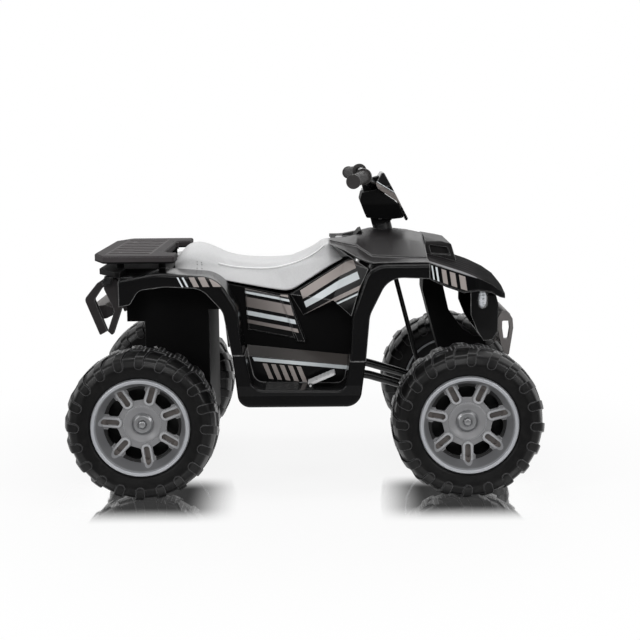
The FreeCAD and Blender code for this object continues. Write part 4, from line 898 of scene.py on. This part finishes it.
def tube(bm: bmesh.types.BMesh, path: Sequence[Vector], radius: float, sides: int) -> None:
    """Adds a round tube along a path, closed at both ends.

    Args:
        bm: Mesh to add to.
        path: Centre line.
        radius: Tube radius in metres.
        sides: Corners of the section.
    """
    loops: List[List[bmesh.types.BMEdge]] = []
    last = len(path) - 1
    for index, point in enumerate(path):
        way = path[min(index + 1, last)] - path[max(index - 1, 0)]
        matrix = Matrix.Translation(point) @ way.to_track_quat("Z", "Y").to_matrix().to_4x4()
        ring = bmesh.ops.create_circle(bm, cap_ends=index in (0, last), segments=sides,
                                       radius=radius, matrix=matrix)["verts"]
        members = set(ring)
        inner = [edge for edge in bm.edges if members.issuperset(edge.verts)]
        loops.append(inner[:sides])
    for first, second in zip(loops, loops[1:]):
        bmesh.ops.bridge_loops(bm, edges=first + second)


# Carried-over nodes by finish; the wheels come by their ends and sides.
DRESSED: Dict[str, Tuple[str, ...]] = {
    "zinc_steel": ("axle_nut_front_left", "axle_nut_front_right", "rear_axle_nuts", "rear_axle",
                   "kingpin_bolts", "drive_motors"),
    "black_steel": ("front_subframe", "knuckle_left", "knuckle_right", "tie_rod", "steering_column",
                    "handlebar", "rack_screws"),
    "gloss_black": ("front_fender_left", "front_fender_right", "front_fascia"),
    "rear_arch_black": ("rear_fender_left", "rear_fender_right"),
    "side_panel_black": ("side_panels",),
    "knee_panel_black": ("knee_panels",),
    "footwell_black": ("footwell_left", "footwell_right"),
    "shield_black": ("cowl_visor",),
    "satin_black": ("centre_tub", "front_tower", "handlebar_cowl", "neck_block", "dash_panel",
                    "rear_deck", "gearboxes", "column_bushes", "battery"),
    "hood_grey": ("hood",),
    "nose_grey": ("nose_cover",),
    "vent_black": ("hood_vent",),
    "trim_grey": ("rear_rack",),
    "tail_grey": ("rear_bumper",),
    "guard_grey": ("front_bumper",),
    "grip_rubber": ("grip_left", "grip_right", "direction_rocker"),
    "pedal_silver": ("foot_pedal", "start_button", "horn_button"),
    "lens_clear": ("head_lamps",),
    "seat_leather": ("seat",),
}


@dataclass
class BodyShell:
    """The carried-over mouldings, given their finishes and smooth curved faces."""

    box: Paintbox
    nodes: Dict[str, bpy.types.Object]
    sharp: float = 32.0

    def plan(self) -> Dict[str, str]:
        """Lists the finish of every node.

        Returns:
            Names of finishes by names of nodes.
        """
        finishes = {name: finish for finish, names in DRESSED.items() for name in names}
        for end in ("front", "rear"):
            for side in ("left", "right"):
                wheel = f"{end}_{side}"
                finishes["tyre_" + wheel] = "tyre_" + end
                finishes["rim_" + wheel] = "rim_" + wheel
                finishes["hub_cap_" + wheel] = "cap_silver"
        return finishes

    def build(self) -> None:
        """Dresses every node and smooths its curved faces."""
        finishes = self.plan()
        for name, node in self.nodes.items():
            self.box.dress(node, finishes[name])
            if "custom_normal" in node.data.attributes:
                node.data.attributes.remove(node.data.attributes["custom_normal"])
            smooth_faces(node.data)
            weld = node.modifiers.new("weld", "WELD")
            weld.merge_threshold = 1e-6
            split = node.modifiers.new("split", "EDGE_SPLIT")
            split.split_angle = math.radians(self.sharp)
            LOG.info("dressed %s in %s", name, finishes[name])


@dataclass(frozen=True)
class Station:
    """Half a cross-section of the saddle, in metres."""

    x: float
    low: float
    low_y: float
    crease: float
    crease_y: float
    top: float

    def blend(self, other: "Station", before: "Station", after: "Station", t: float) -> "Station":
        """Station on a smooth curve from this one to another.

        Args:
            other: Station at t = 1.
            before: Neighbour before this one.
            after: Neighbour after the other one.
            t: Share of the way.

        Returns:
            The station between them.
        """
        values = []
        for key in ("x", "low", "low_y", "crease", "crease_y", "top"):
            p, a, b, q = (getattr(station, key) for station in (before, self, other, after))
            u, v = (b - p) * 0.5, (q - a) * 0.5
            square, cube = 3 * (b - a) - 2 * u - v, 2 * (a - b) + u + v
            values.append(a + u * t + square * t * t + cube * t ** 3)
        return Station(*values)

    def outline(self, side_steps: int = 12, top_steps: int = 16,
                waist: float = 0.005) -> List[Vector]:
        """Outline of the whole section.

        Args:
            side_steps: Points on each side.
            top_steps: Points from each crease to the middle.
            waist: How far the sides are drawn in halfway up.

        Returns:
            Points from the right lower edge over the top to the left lower edge.
        """
        low = Vector((self.x, self.low_y, self.low))
        crease = Vector((self.x, self.crease_y, self.crease))
        top = Vector((self.x, 0.0, self.top))
        half_y, half_z = (self.low_y + self.crease_y) / 2, (self.low + self.crease) / 2
        narrow = Vector((self.x, half_y - waist, half_z))
        half: List[Vector] = []
        for step in range(side_steps):
            t = step / side_steps
            half.append(low.lerp(crease, t) + (narrow - (low + crease) / 2) * (4 * t * (1 - t)))
        for step in range(top_steps):
            angle = math.acos(1 - step / top_steps)
            rise = (top.z - crease.z) * math.sin(angle) ** 2
            half.append(Vector((self.x, crease.y * math.cos(angle), crease.z + rise)))
        right = [Vector((p.x, -p.y, p.z)) for p in half]
        return right + [top] + list(reversed(half))


@dataclass
class SeatCushion:
    """Padded saddle, lofted, swollen by a cloth simulation, with welts and stitches."""

    box: Paintbox
    stations: Tuple[Station, ...] = (
        Station(-0.325, 0.5310, 0.1120, 0.545, 0.098, 0.556),
        Station(-0.303, 0.5290, 0.1360, 0.566, 0.112, 0.590),
        Station(-0.270, 0.5240, 0.1450, 0.570, 0.114, 0.594),
        Station(-0.235, 0.5150, 0.1490, 0.559, 0.114, 0.580),
        Station(-0.190, 0.5055, 0.1496, 0.545, 0.112, 0.560),
        Station(-0.140, 0.4955, 0.1496, 0.539, 0.110, 0.552),
        Station(-0.084, 0.4845, 0.1496, 0.538, 0.108, 0.550),
        Station(-0.035, 0.4790, 0.1496, 0.547, 0.106, 0.553),
        Station(0.007, 0.5030, 0.1470, 0.563, 0.102, 0.569),
        Station(0.031, 0.5170, 0.1430, 0.577, 0.096, 0.582),
        Station(0.058, 0.5330, 0.1360, 0.596, 0.088, 0.599),
        Station(0.078, 0.5460, 0.1260, 0.584, 0.084, 0.587),
        Station(0.098, 0.5580, 0.1120, 0.570, 0.080, 0.572),
    )
    steps: int = 6
    cap: float = 0.0025
    pressure: float = 1.5
    frames: int = 20
    rim: float = 0.008
    rear_from: float = -0.20
    rear_run: float = 0.05
    welt: float = 0.0020
    welt_out: float = 0.55
    welt_up: float = 0.3
    welt_span: Tuple[int, int] = (21, -14)
    stitch: float = 0.0016
    stitch_rows: Tuple[float, float] = (-0.262, -0.247)
    stitch_side: float = 0.16
    stitch_low: float = 0.536
    stitch_pitch: float = 0.0062
    stitch_count: int = 8

    def sections(self) -> List[Station]:
        """Close stations on a smooth curve through the given ones.

        Returns:
            The stations from the rear to the front.
        """
        row = self.stations
        close: List[Station] = []
        for index, (a, b) in enumerate(zip(row, row[1:])):
            before, after = row[max(index - 1, 0)], row[min(index + 2, len(row) - 1)]
            close += [a.blend(b, before, after, step / self.steps) for step in range(self.steps)]
        return close + [row[-1]]

    def lofted(self) -> bpy.types.Object:
        """Closed cover through the sections, with flat ends and a flat underside.

        Returns:
            The new cushion.
        """
        bm = bmesh.new()
        outlines = [section.outline() for section in self.sections()]
        loops: List[List[bmesh.types.BMEdge]] = []
        for index, outline in enumerate(outlines):
            ring = bmesh.ops.create_circle(bm, cap_ends=index in (0, len(outlines) - 1),
                                           segments=len(outline), radius=1.0)["verts"]
            for vertex, point in zip(ring, outline):
                vertex.co = point
            members = set(ring)
            loops.append([edge for vertex in ring for edge in vertex.link_edges
                          if members.issuperset(edge.verts)])
        for first, second in zip(loops, loops[1:]):
            bmesh.ops.bridge_loops(bm, edges=list(dict.fromkeys(first + second)))
        return new_piece("seat_cushion", bm, smooth_angle=180.0)

    def settle(self, cushion: bpy.types.Object) -> None:
        """Applies the modifiers of the cushion.

        Args:
            cushion: The cushion.
        """
        graph = bpy.context.evaluated_depsgraph_get()
        mesh = bpy.data.meshes.new_from_object(cushion.evaluated_get(graph))
        cushion.modifiers.clear()
        cushion.data = mesh

    def swell(self, cushion: bpy.types.Object) -> None:
        """Blows the cover up like stuffed foam and caps how far it moves.

        Args:
            cushion: The lofted cushion.
        """
        rest = [vertex.co.copy() for vertex in cushion.data.vertices]
        pins = cushion.vertex_groups.new(name="pins")
        for vertex in cushion.data.vertices:
            if self.held(vertex.co):
                pins.add([vertex.index], 1.0, "REPLACE")
        cloth = cushion.modifiers.new("cloth", "CLOTH")
        cloth.settings.use_pressure = True
        cloth.settings.uniform_pressure_force = self.pressure
        cloth.settings.effector_weights.gravity = 0.0
        cloth.settings.vertex_group_mass = "pins"
        scene = bpy.context.scene
        for frame in range(1, self.frames + 1):
            scene.frame_set(frame)
        self.settle(cushion)
        scene.frame_set(1)
        for vertex, start in zip(cushion.data.vertices, rest):
            move = vertex.co - start
            if move.length > self.cap:
                vertex.co = start + move * (self.cap / move.length)

    def held(self, point: Vector) -> bool:
        """Tells where the cover is stapled to its pan.

        Args:
            point: Point on the cover.

        Returns:
            True at the ends and near the lower rim.
        """
        for a, b in zip(self.stations, self.stations[1:]):
            if a.x < point.x < b.x:
                low = a.low + (b.low - a.low) * (point.x - a.x) / (b.x - a.x)
                return point.z < low + self.rim
        return True

    def piping(self, tree: BVHTree) -> bpy.types.Object:
        """Thin welts along both creases, half sunk into the cover.

        Args:
            tree: Faces of the cover.

        Returns:
            The new welts.
        """
        bm = bmesh.new()
        for side in SIDES:
            points: List[Vector] = []
            for section in self.sections()[slice(*self.welt_span)]:
                crease = Vector((section.x, side * section.crease_y, section.crease))
                spot, normal, _, _ = tree.find_nearest(crease)
                lift = Vector((0, 0, self.welt * self.welt_up))
                points.append(spot + normal * (self.welt * self.welt_out) + lift)
            for _ in range(3):
                evened = [(a + b * 2 + c) / 4 for a, b, c in zip(points, points[1:], points[2:])]
                points = [points[0]] + evened + [points[-1]]
            tube(bm, points, self.welt, 8)
        return new_piece("highlit_seat_piping", bm, smooth_angle=60.0)

    def stitches(self, tree: BVHTree) -> bpy.types.Object:
        """Two rows of short stitches round each rear corner.

        Args:
            tree: Faces of the cover.

        Returns:
            The new stitches.
        """
        bm = bmesh.new()
        for side in SIDES:
            for row in self.stitch_rows:
                for step in range(self.stitch_count):
                    height = self.stitch_low + step * self.stitch_pitch
                    outside = Vector((row, side * self.stitch_side, height))
                    spot, normal, _, _ = tree.find_nearest(outside)
                    place = Matrix.Translation(spot + normal * (self.stitch * 0.2))
                    bmesh.ops.create_icosphere(bm, subdivisions=1, radius=self.stitch, matrix=place)
        return new_piece("seat_stitches", bm, smooth_angle=60.0)

    def soften(self, cushion: bpy.types.Object) -> None:
        """Rounds the rear of the cover and evens the rest.

        Args:
            cushion: The cushion.
        """
        rear = cushion.vertex_groups.new(name="rear")
        for vertex in cushion.data.vertices:
            weight = min(max((self.rear_from - vertex.co.x) / self.rear_run, 0.0), 1.0)
            if weight > 0 and not self.held(vertex.co):
                rear.add([vertex.index], weight, "REPLACE")
        for name, group, turns in (("round_rear", "rear", 30), ("even", "", 2)):
            even = cushion.modifiers.new(name, "SMOOTH")
            even.factor = 0.5
            even.iterations = turns
            even.vertex_group = group
        finer = cushion.modifiers.new("finer", "SUBSURF")
        finer.levels = finer.render_levels = 1
        self.settle(cushion)
        smooth_faces(cushion.data)

    def build(self) -> None:
        """Makes the cushion and its sewing and puts them in place of the CAD cushion."""
        cushion = self.lofted()
        self.swell(cushion)
        self.soften(cushion)
        tree = BVHTree.FromObject(cushion, bpy.context.evaluated_depsgraph_get())
        dressed = ((cushion, "seat_leather"), (self.piping(tree), "highlit_seat_piping"),
                   (self.stitches(tree), "seat_thread"))
        for piece, finish in dressed:
            self.box.dress(piece, finish)
            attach(piece, "chassis")
        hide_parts("seat")
        LOG.info("seat cushion with %d faces and its sewing", len(cushion.data.polygons))


@dataclass
class TreadTeeth:
    """Fine toothed band round the middle of each tyre."""

    box: Paintbox
    count: int = 220
    inner: float = 0.1795
    root: float = 0.1812
    tip: float = 0.1830
    half_width: float = 0.0065
    share: float = 0.62
    taper: Factors = (0.45, 0.8, 1.0)

    def ring(self, x: float, y: float) -> bmesh.types.BMesh:
        """Toothed band at one wheel.

        Args:
            x: Wheel centre along the bike.
            y: Wheel centre across the bike.

        Returns:
            The band in the frame of the bike.
        """
        bm = bmesh.new()
        pitch = 2 * math.pi * self.tip / self.count
        height = self.tip - self.inner
        tooth = bmesh.ops.create_cube(bm, size=1.0)["verts"]
        size = Vector((pitch * self.share, self.half_width * 2, height))
        bmesh.ops.scale(bm, vec=size, verts=tooth)
        bmesh.ops.translate(bm, vec=Vector((0, 0, self.inner + height / 2)), verts=tooth)
        top = [vertex for vertex in tooth if vertex.co.z > self.root]
        bmesh.ops.scale(bm, vec=Vector(self.taper), verts=top)
        bottom = [face for face in bm.faces if face.normal.z <= -0.9]
        bmesh.ops.delete(bm, geom=bottom, context="FACES_ONLY")
        bmesh.ops.spin(bm, geom=bm.verts[:] + bm.edges[:] + bm.faces[:], cent=(0, 0, 0),
                       axis=(0, 1, 0), angle=2 * math.pi * (self.count - 1) / self.count,
                       steps=self.count - 1, use_duplicate=True)
        bmesh.ops.translate(bm, vec=Vector((x, y, AXLE_Z)), verts=bm.verts)
        return bm

    def build(self) -> None:
        """Makes the four bands."""
        for end, x in (("front", HALF_BASE), ("rear", -HALF_BASE)):
            for side, y in (("left", HALF_TRACK), ("right", -HALF_TRACK)):
                band = new_piece(f"tread_teeth_{end}_{side}", self.ring(x, y), smooth_angle=20.0)
                self.box.dress(band, "tyre_" + end)
                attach(band, f"wheel_{end}_{side}")
                LOG.info("toothed band on the %s %s tyre", end, side)


@dataclass
class NeckBolt:
    """Cross bolt with domed heads in the handlebar block."""

    box: Paintbox
    centre: Tuple[float, float, float] = (0.19381, 0.0, 0.654)
    reach: float = 0.0262
    profile: Rows = ((0.0030, -0.004), (0.0030, 0.0), (0.0058, 0.0), (0.0058, 0.0012),
                     (0.00435, 0.0030), (0.0027, 0.0034), (0.0027, 0.0014), (0.0, 0.0014))

    def build(self) -> None:
        """Makes both heads, each with a socket."""
        bm = bmesh.new()
        for side in SIDES:
            turn = Matrix.Rotation(math.radians(-90 * side), 4, "X")
            seat = Vector(self.centre) + Vector((0, side * self.reach, 0))
            matrix = Matrix.Translation(seat) @ turn
            verts = [bm.verts.new(matrix @ Vector((out, 0, up))) for out, up in self.profile]
            edges = [bm.edges.new(pair) for pair in zip(verts, verts[1:])]
            axis = matrix.to_3x3() @ Vector((0, 0, 1))
            bmesh.ops.spin(bm, geom=verts + edges, cent=matrix.translation, axis=axis,
                           angle=2 * math.pi, steps=20, use_merge=True)
        bolt = new_piece("neck_bolt", bm, smooth_angle=30.0)
        self.box.dress(bolt, "zinc_steel")
        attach(bolt, "steering")
        LOG.info("neck bolt heads")


@dataclass
class LampBowls:
    """Bright dished reflectors with light chips behind the head lamp lenses."""

    box: Paintbox
    turn: float = 31.5
    corner: Tuple[float, float, float] = (0.424, 0.150, 0.458)
    along: float = 0.020
    gap: float = 0.0012
    size: Tuple[float, float] = (0.0105, 0.0205)
    border: float = 0.003
    dish: float = -0.0007
    chips: Tuple[float, ...] = (-0.0095, 0.0, 0.0095)
    chip_radius: float = 0.0028

    def build(self) -> None:
        """Makes one reflector behind each lens."""
        bm = bmesh.new()
        turn = math.radians(self.turn)
        way = Vector((math.cos(turn), -math.sin(turn), 0))
        out = Vector((math.sin(turn), math.cos(turn), 0))
        centre = Vector(self.corner) + way * self.along + out * self.gap
        frame = Matrix((way, Vector((0, 0, 1)), out)).transposed().to_4x4()
        plate = bmesh.ops.create_circle(bm, cap_ends=True, segments=32, radius=1.0)["verts"]
        bmesh.ops.scale(bm, vec=Vector((*self.size, 1)), verts=plate)
        bmesh.ops.inset_region(bm, faces=bm.faces[:], thickness=self.border, depth=self.dish)
        for height in self.chips:
            bmesh.ops.create_uvsphere(bm, u_segments=12, v_segments=8, radius=self.chip_radius,
                                      matrix=Matrix.Translation((0, height, 0.0004)))
        bmesh.ops.transform(bm, matrix=Matrix.Translation(centre) @ frame, verts=bm.verts)
        mirrored(bm)
        bowls = new_piece("lamp_bowls", bm, smooth_angle=30.0)
        self.box.dress(bowls, "reflector")
        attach(bowls, "chassis")
        LOG.info("lamp bowls")


@dataclass
class TailTrim:
    """End caps on the rear wheel arches, and tail lamps beside the guard."""

    box: Paintbox
    cap_low: Vector = field(default_factory=lambda: Vector((-0.4415, 0.166, 0.506)))
    cap_high: Vector = field(default_factory=lambda: Vector((-0.384, 0.256, 0.5335)))
    pod_low: Vector = field(default_factory=lambda: Vector((-0.4850, 0.194, 0.5095)))
    pod_high: Vector = field(default_factory=lambda: Vector((-0.4625, 0.217, 0.5305)))
    lens_inset: Vector = field(default_factory=lambda: Vector((0.0035, 0.004, 0.0035)))
    lens_rise: float = 0.0016
    lean: float = 0.35

    def block(self, bm: bmesh.types.BMesh, low: Vector, high: Vector,
              round_edge: float) -> List[bmesh.types.BMVert]:
        """Adds a block with rounded edges.

        Args:
            bm: Mesh to add to.
            low: Lowest corner.
            high: Highest corner.
            round_edge: Width of the rounding.

        Returns:
            The corners of the rounded block.
        """
        corners = bmesh.ops.create_cube(bm, size=1.0)["verts"]
        bmesh.ops.scale(bm, vec=high - low, verts=corners)
        bmesh.ops.translate(bm, vec=(low + high) / 2, verts=corners)
        edges = list(dict.fromkeys(edge for corner in corners for edge in corner.link_edges))
        made = bmesh.ops.bevel(bm, geom=edges, offset=round_edge, affect="EDGES", segments=3,
                               profile=0.5, material=-1)
        return list(dict.fromkeys(vertex for face in made["faces"] for vertex in face.verts))

    def shear(self, bm: bmesh.types.BMesh, verts: List[bmesh.types.BMVert]) -> None:
        """Leans a lamp so that its top lies further forward.

        Args:
            bm: Mesh of the lamp.
            verts: Corners to move.
        """
        lean = Matrix(((1, 0, self.lean, 0), (0, 1, 0, 0), (0, 0, 1, 0), (0, 0, 0, 1)))
        place = Matrix.Translation((self.pod_low + self.pod_high) / 2)
        bmesh.ops.transform(bm, matrix=place @ lean @ place.inverted(), verts=verts)

    def finish_pair(self, bm: bmesh.types.BMesh, name: str, finish: str) -> None:
        """Mirrors a left piece to the right, dresses it and fixes it to the chassis.

        Args:
            bm: Mesh of the left piece.
            name: Name of the pair.
            finish: Its finish.
        """
        mirrored(bm)
        piece = new_piece(name, bm, smooth_angle=30.0)
        self.box.dress(piece, finish)
        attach(piece, "chassis")
        LOG.info("%s in %s", name, finish)

    def build(self) -> None:
        """Makes the caps, the lamp housings and their lenses."""
        caps = bmesh.new()
        self.block(caps, self.cap_low, self.cap_high, 0.004)
        self.finish_pair(caps, "arch_caps", "gloss_black")
        pods = bmesh.new()
        self.shear(pods, self.block(pods, self.pod_low, self.pod_high, 0.002))
        self.finish_pair(pods, "tail_lamp_housings", "gloss_black")
        lenses = bmesh.new()
        low, high = self.pod_low + self.lens_inset, self.pod_high - self.lens_inset
        low.x, high.y = self.pod_low.x - self.lens_rise, self.pod_high.y + self.lens_rise
        self.shear(lenses, self.block(lenses, low, high, 0.0015))
        self.finish_pair(lenses, "tail_lamp_lenses", "lens_smoke")


@dataclass
class Studio:
    """White floor and backdrop, soft boxes and the camera."""

    eye: Tuple[float, float, float] = (0.0470, -3.2684, 0.8926)
    pitch: float = 8.79
    yaw: float = -0.16
    roll: float = -0.55
    focal_px: float = 1272.2
    frame_px: float = 640.0
    sensor: float = 36.0
    aim: Tuple[float, float, float] = (0.0, 0.0, 0.4)
    floor_half: float = 9.0
    floor_z: float = -0.0006

    def camera(self) -> None:
        """Sets the camera at the photographed viewing angle."""
        pitch, yaw, roll = (math.radians(angle) for angle in (self.pitch, self.yaw, self.roll))
        ahead = Vector((math.sin(yaw) * math.cos(pitch), math.cos(yaw) * math.cos(pitch),
                        -math.sin(pitch)))
        right = ahead.cross(Vector((0, 0, 1))).normalized()
        up = right.cross(ahead)
        level = right * math.cos(roll) + up * math.sin(roll)
        upright = up * math.cos(roll) - right * math.sin(roll)
        turn = Matrix((level, upright, -ahead)).transposed().to_4x4()
        data = bpy.data.cameras.new("camera")
        data.sensor_width = self.sensor
        data.lens = self.sensor * self.focal_px / self.frame_px
        data.clip_end = 100.0
        camera = bpy.data.objects.new("camera", data)
        camera.matrix_world = Matrix.Translation(self.eye) @ turn
        bpy.context.scene.collection.objects.link(camera)
        bpy.context.scene.camera = camera

    def lamp(self, name: str, at: Vector, size: Tuple[float, float], power: float) -> None:
        """Adds one soft box that faces the middle of the bike.

        Args:
            name: Name of the lamp.
            at: Place of the lamp.
            size: Width and height in metres.
            power: Watts.
        """
        data = bpy.data.lights.new(name, "AREA")
        data.shape = "RECTANGLE"
        data.size, data.size_y = size
        data.energy = power
        lamp = bpy.data.objects.new(name, data)
        lamp.location = at
        lamp.rotation_mode = "QUATERNION"
        lamp.rotation_quaternion = (Vector(self.aim) - at).to_track_quat("-Z", "Y")
        bpy.context.scene.collection.objects.link(lamp)

    def lamps(self) -> None:
        """Sets the soft boxes: one overhead, one in front, one on each side and one behind."""
        self.lamp("overhead", Vector((0.0, -0.1, 2.6)), (2.4, 0.8), 21.0)
        self.lamp("front", Vector((0.0, -3.4, 1.9)), (1.8, 0.9), 24.0)
        self.lamp("side_left", Vector((-2.2, -2.2, 1.5)), (0.7, 1.4), 24.0)
        self.lamp("side_right", Vector((2.2, -2.2, 1.5)), (0.7, 1.4), 24.0)
        self.lamp("behind", Vector((0.0, 2.2, 1.9)), (2.6, 0.6), 14.0)

    def world(self) -> None:
        """White background whose reflection darkens towards the camera's side."""
        world = bpy.data.worlds.new("studio")
        world.use_nodes = True
        bpy.context.scene.world = world
        g = Graph(world.node_tree)
        _, y, z = g.axes("Generated")
        camera, gloss, through = g.rays()
        mirrors = gloss | through
        room = (0.08 + y.smooth(-0.25, 0.45) * 0.92) | (z.smooth(0.35, 0.9) * 0.4)
        strength = camera | (mirrors * room) | ((1 - (camera | mirrors)) * 0.32)
        back = world.node_tree.nodes["Background"]
        g.feed(back.inputs["Color"], (1, 1, 1))
        g.feed(back.inputs["Strength"], strength)

    def floor_white(self) -> bpy.types.Material:
        """White floor that mirrors the wheels on the camera's side.

        Returns:
            The material.
        """
        g = Surface("floor_white")
        x, y, _ = g.axes()
        camera, gloss, through = g.rays()
        lit = camera | through | (gloss * (0.25 + y.smooth(-1.2, -0.2) * 0.75))
        dark = g.raw("ShaderNodeEmission", {}, {"Color": (0, 0, 0), "Strength": 1.0})
        bright = g.raw("ShaderNodeEmission", {}, {"Color": (1, 1, 1), "Strength": 1.0})
        white = g.raw("ShaderNodeMixShader", {}, {0: lit, 1: dark.outputs[0], 2: bright.outputs[0]})
        g.set(Base_Color=(0.9, 0.9, 0.9), Roughness=0.6)
        far = (x * x + y * y).math("SQRT").smooth(0.6, 1.4)
        share = (camera | gloss | through) * (0.88 + far * 0.12)
        paint = g.shader.outputs[0]
        plain = g.raw("ShaderNodeMixShader", {}, {0: share, 1: paint, 2: white.outputs[0]})
        mirror = g.raw("ShaderNodeBsdfGlossy", {}, {"Color": (0.98, 0.98, 0.98), "Roughness": 0.05})
        beside = 1 - abs(abs(x) - HALF_BASE).smooth(0.10, 0.24)
        shine = y.smooth(-0.50, -0.37) * (1 - y.smooth(-0.22, -0.10)) * beside * 0.96
        both = {0: shine, 1: plain.outputs[0], 2: mirror.outputs[0]}
        out = g.raw("ShaderNodeMixShader", {}, both)
        g.feed(g.tree.nodes["Material Output"].inputs["Surface"], out.outputs[0])
        return g.material

    def floor(self) -> None:
        """Lays the floor just below the tyres."""
        bm = bmesh.new()
        bmesh.ops.create_grid(bm, x_segments=1, y_segments=1, size=self.floor_half,
                              matrix=Matrix.Translation((0, 0, self.floor_z)))
        floor = new_piece("floor", bm, smooth_angle=35.0)
        floor.data.materials.append(self.floor_white())

    def build(self) -> None:
        """Makes the whole set."""
        bpy.context.scene.view_settings.view_transform = "Standard"
        self.camera()
        self.lamps()
        self.world()
        self.floor()
        LOG.info("studio set")


def main() -> None:
    """Builds the classes in order."""
    logging.basicConfig(level=logging.INFO, format="%(name)s: %(message)s")
    for stray in list(bpy.data.objects):
        bpy.data.objects.remove(stray)
    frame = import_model()
    box = Paintbox()
    BodyShell(box, frame["nodes"]).build()
    SeatCushion(box).build()
    TreadTeeth(box).build()
    NeckBolt(box).build()
    LampBowls(box).build()
    TailTrim(box).build()
    Studio().build()


if __name__ == "__main__":
    main()
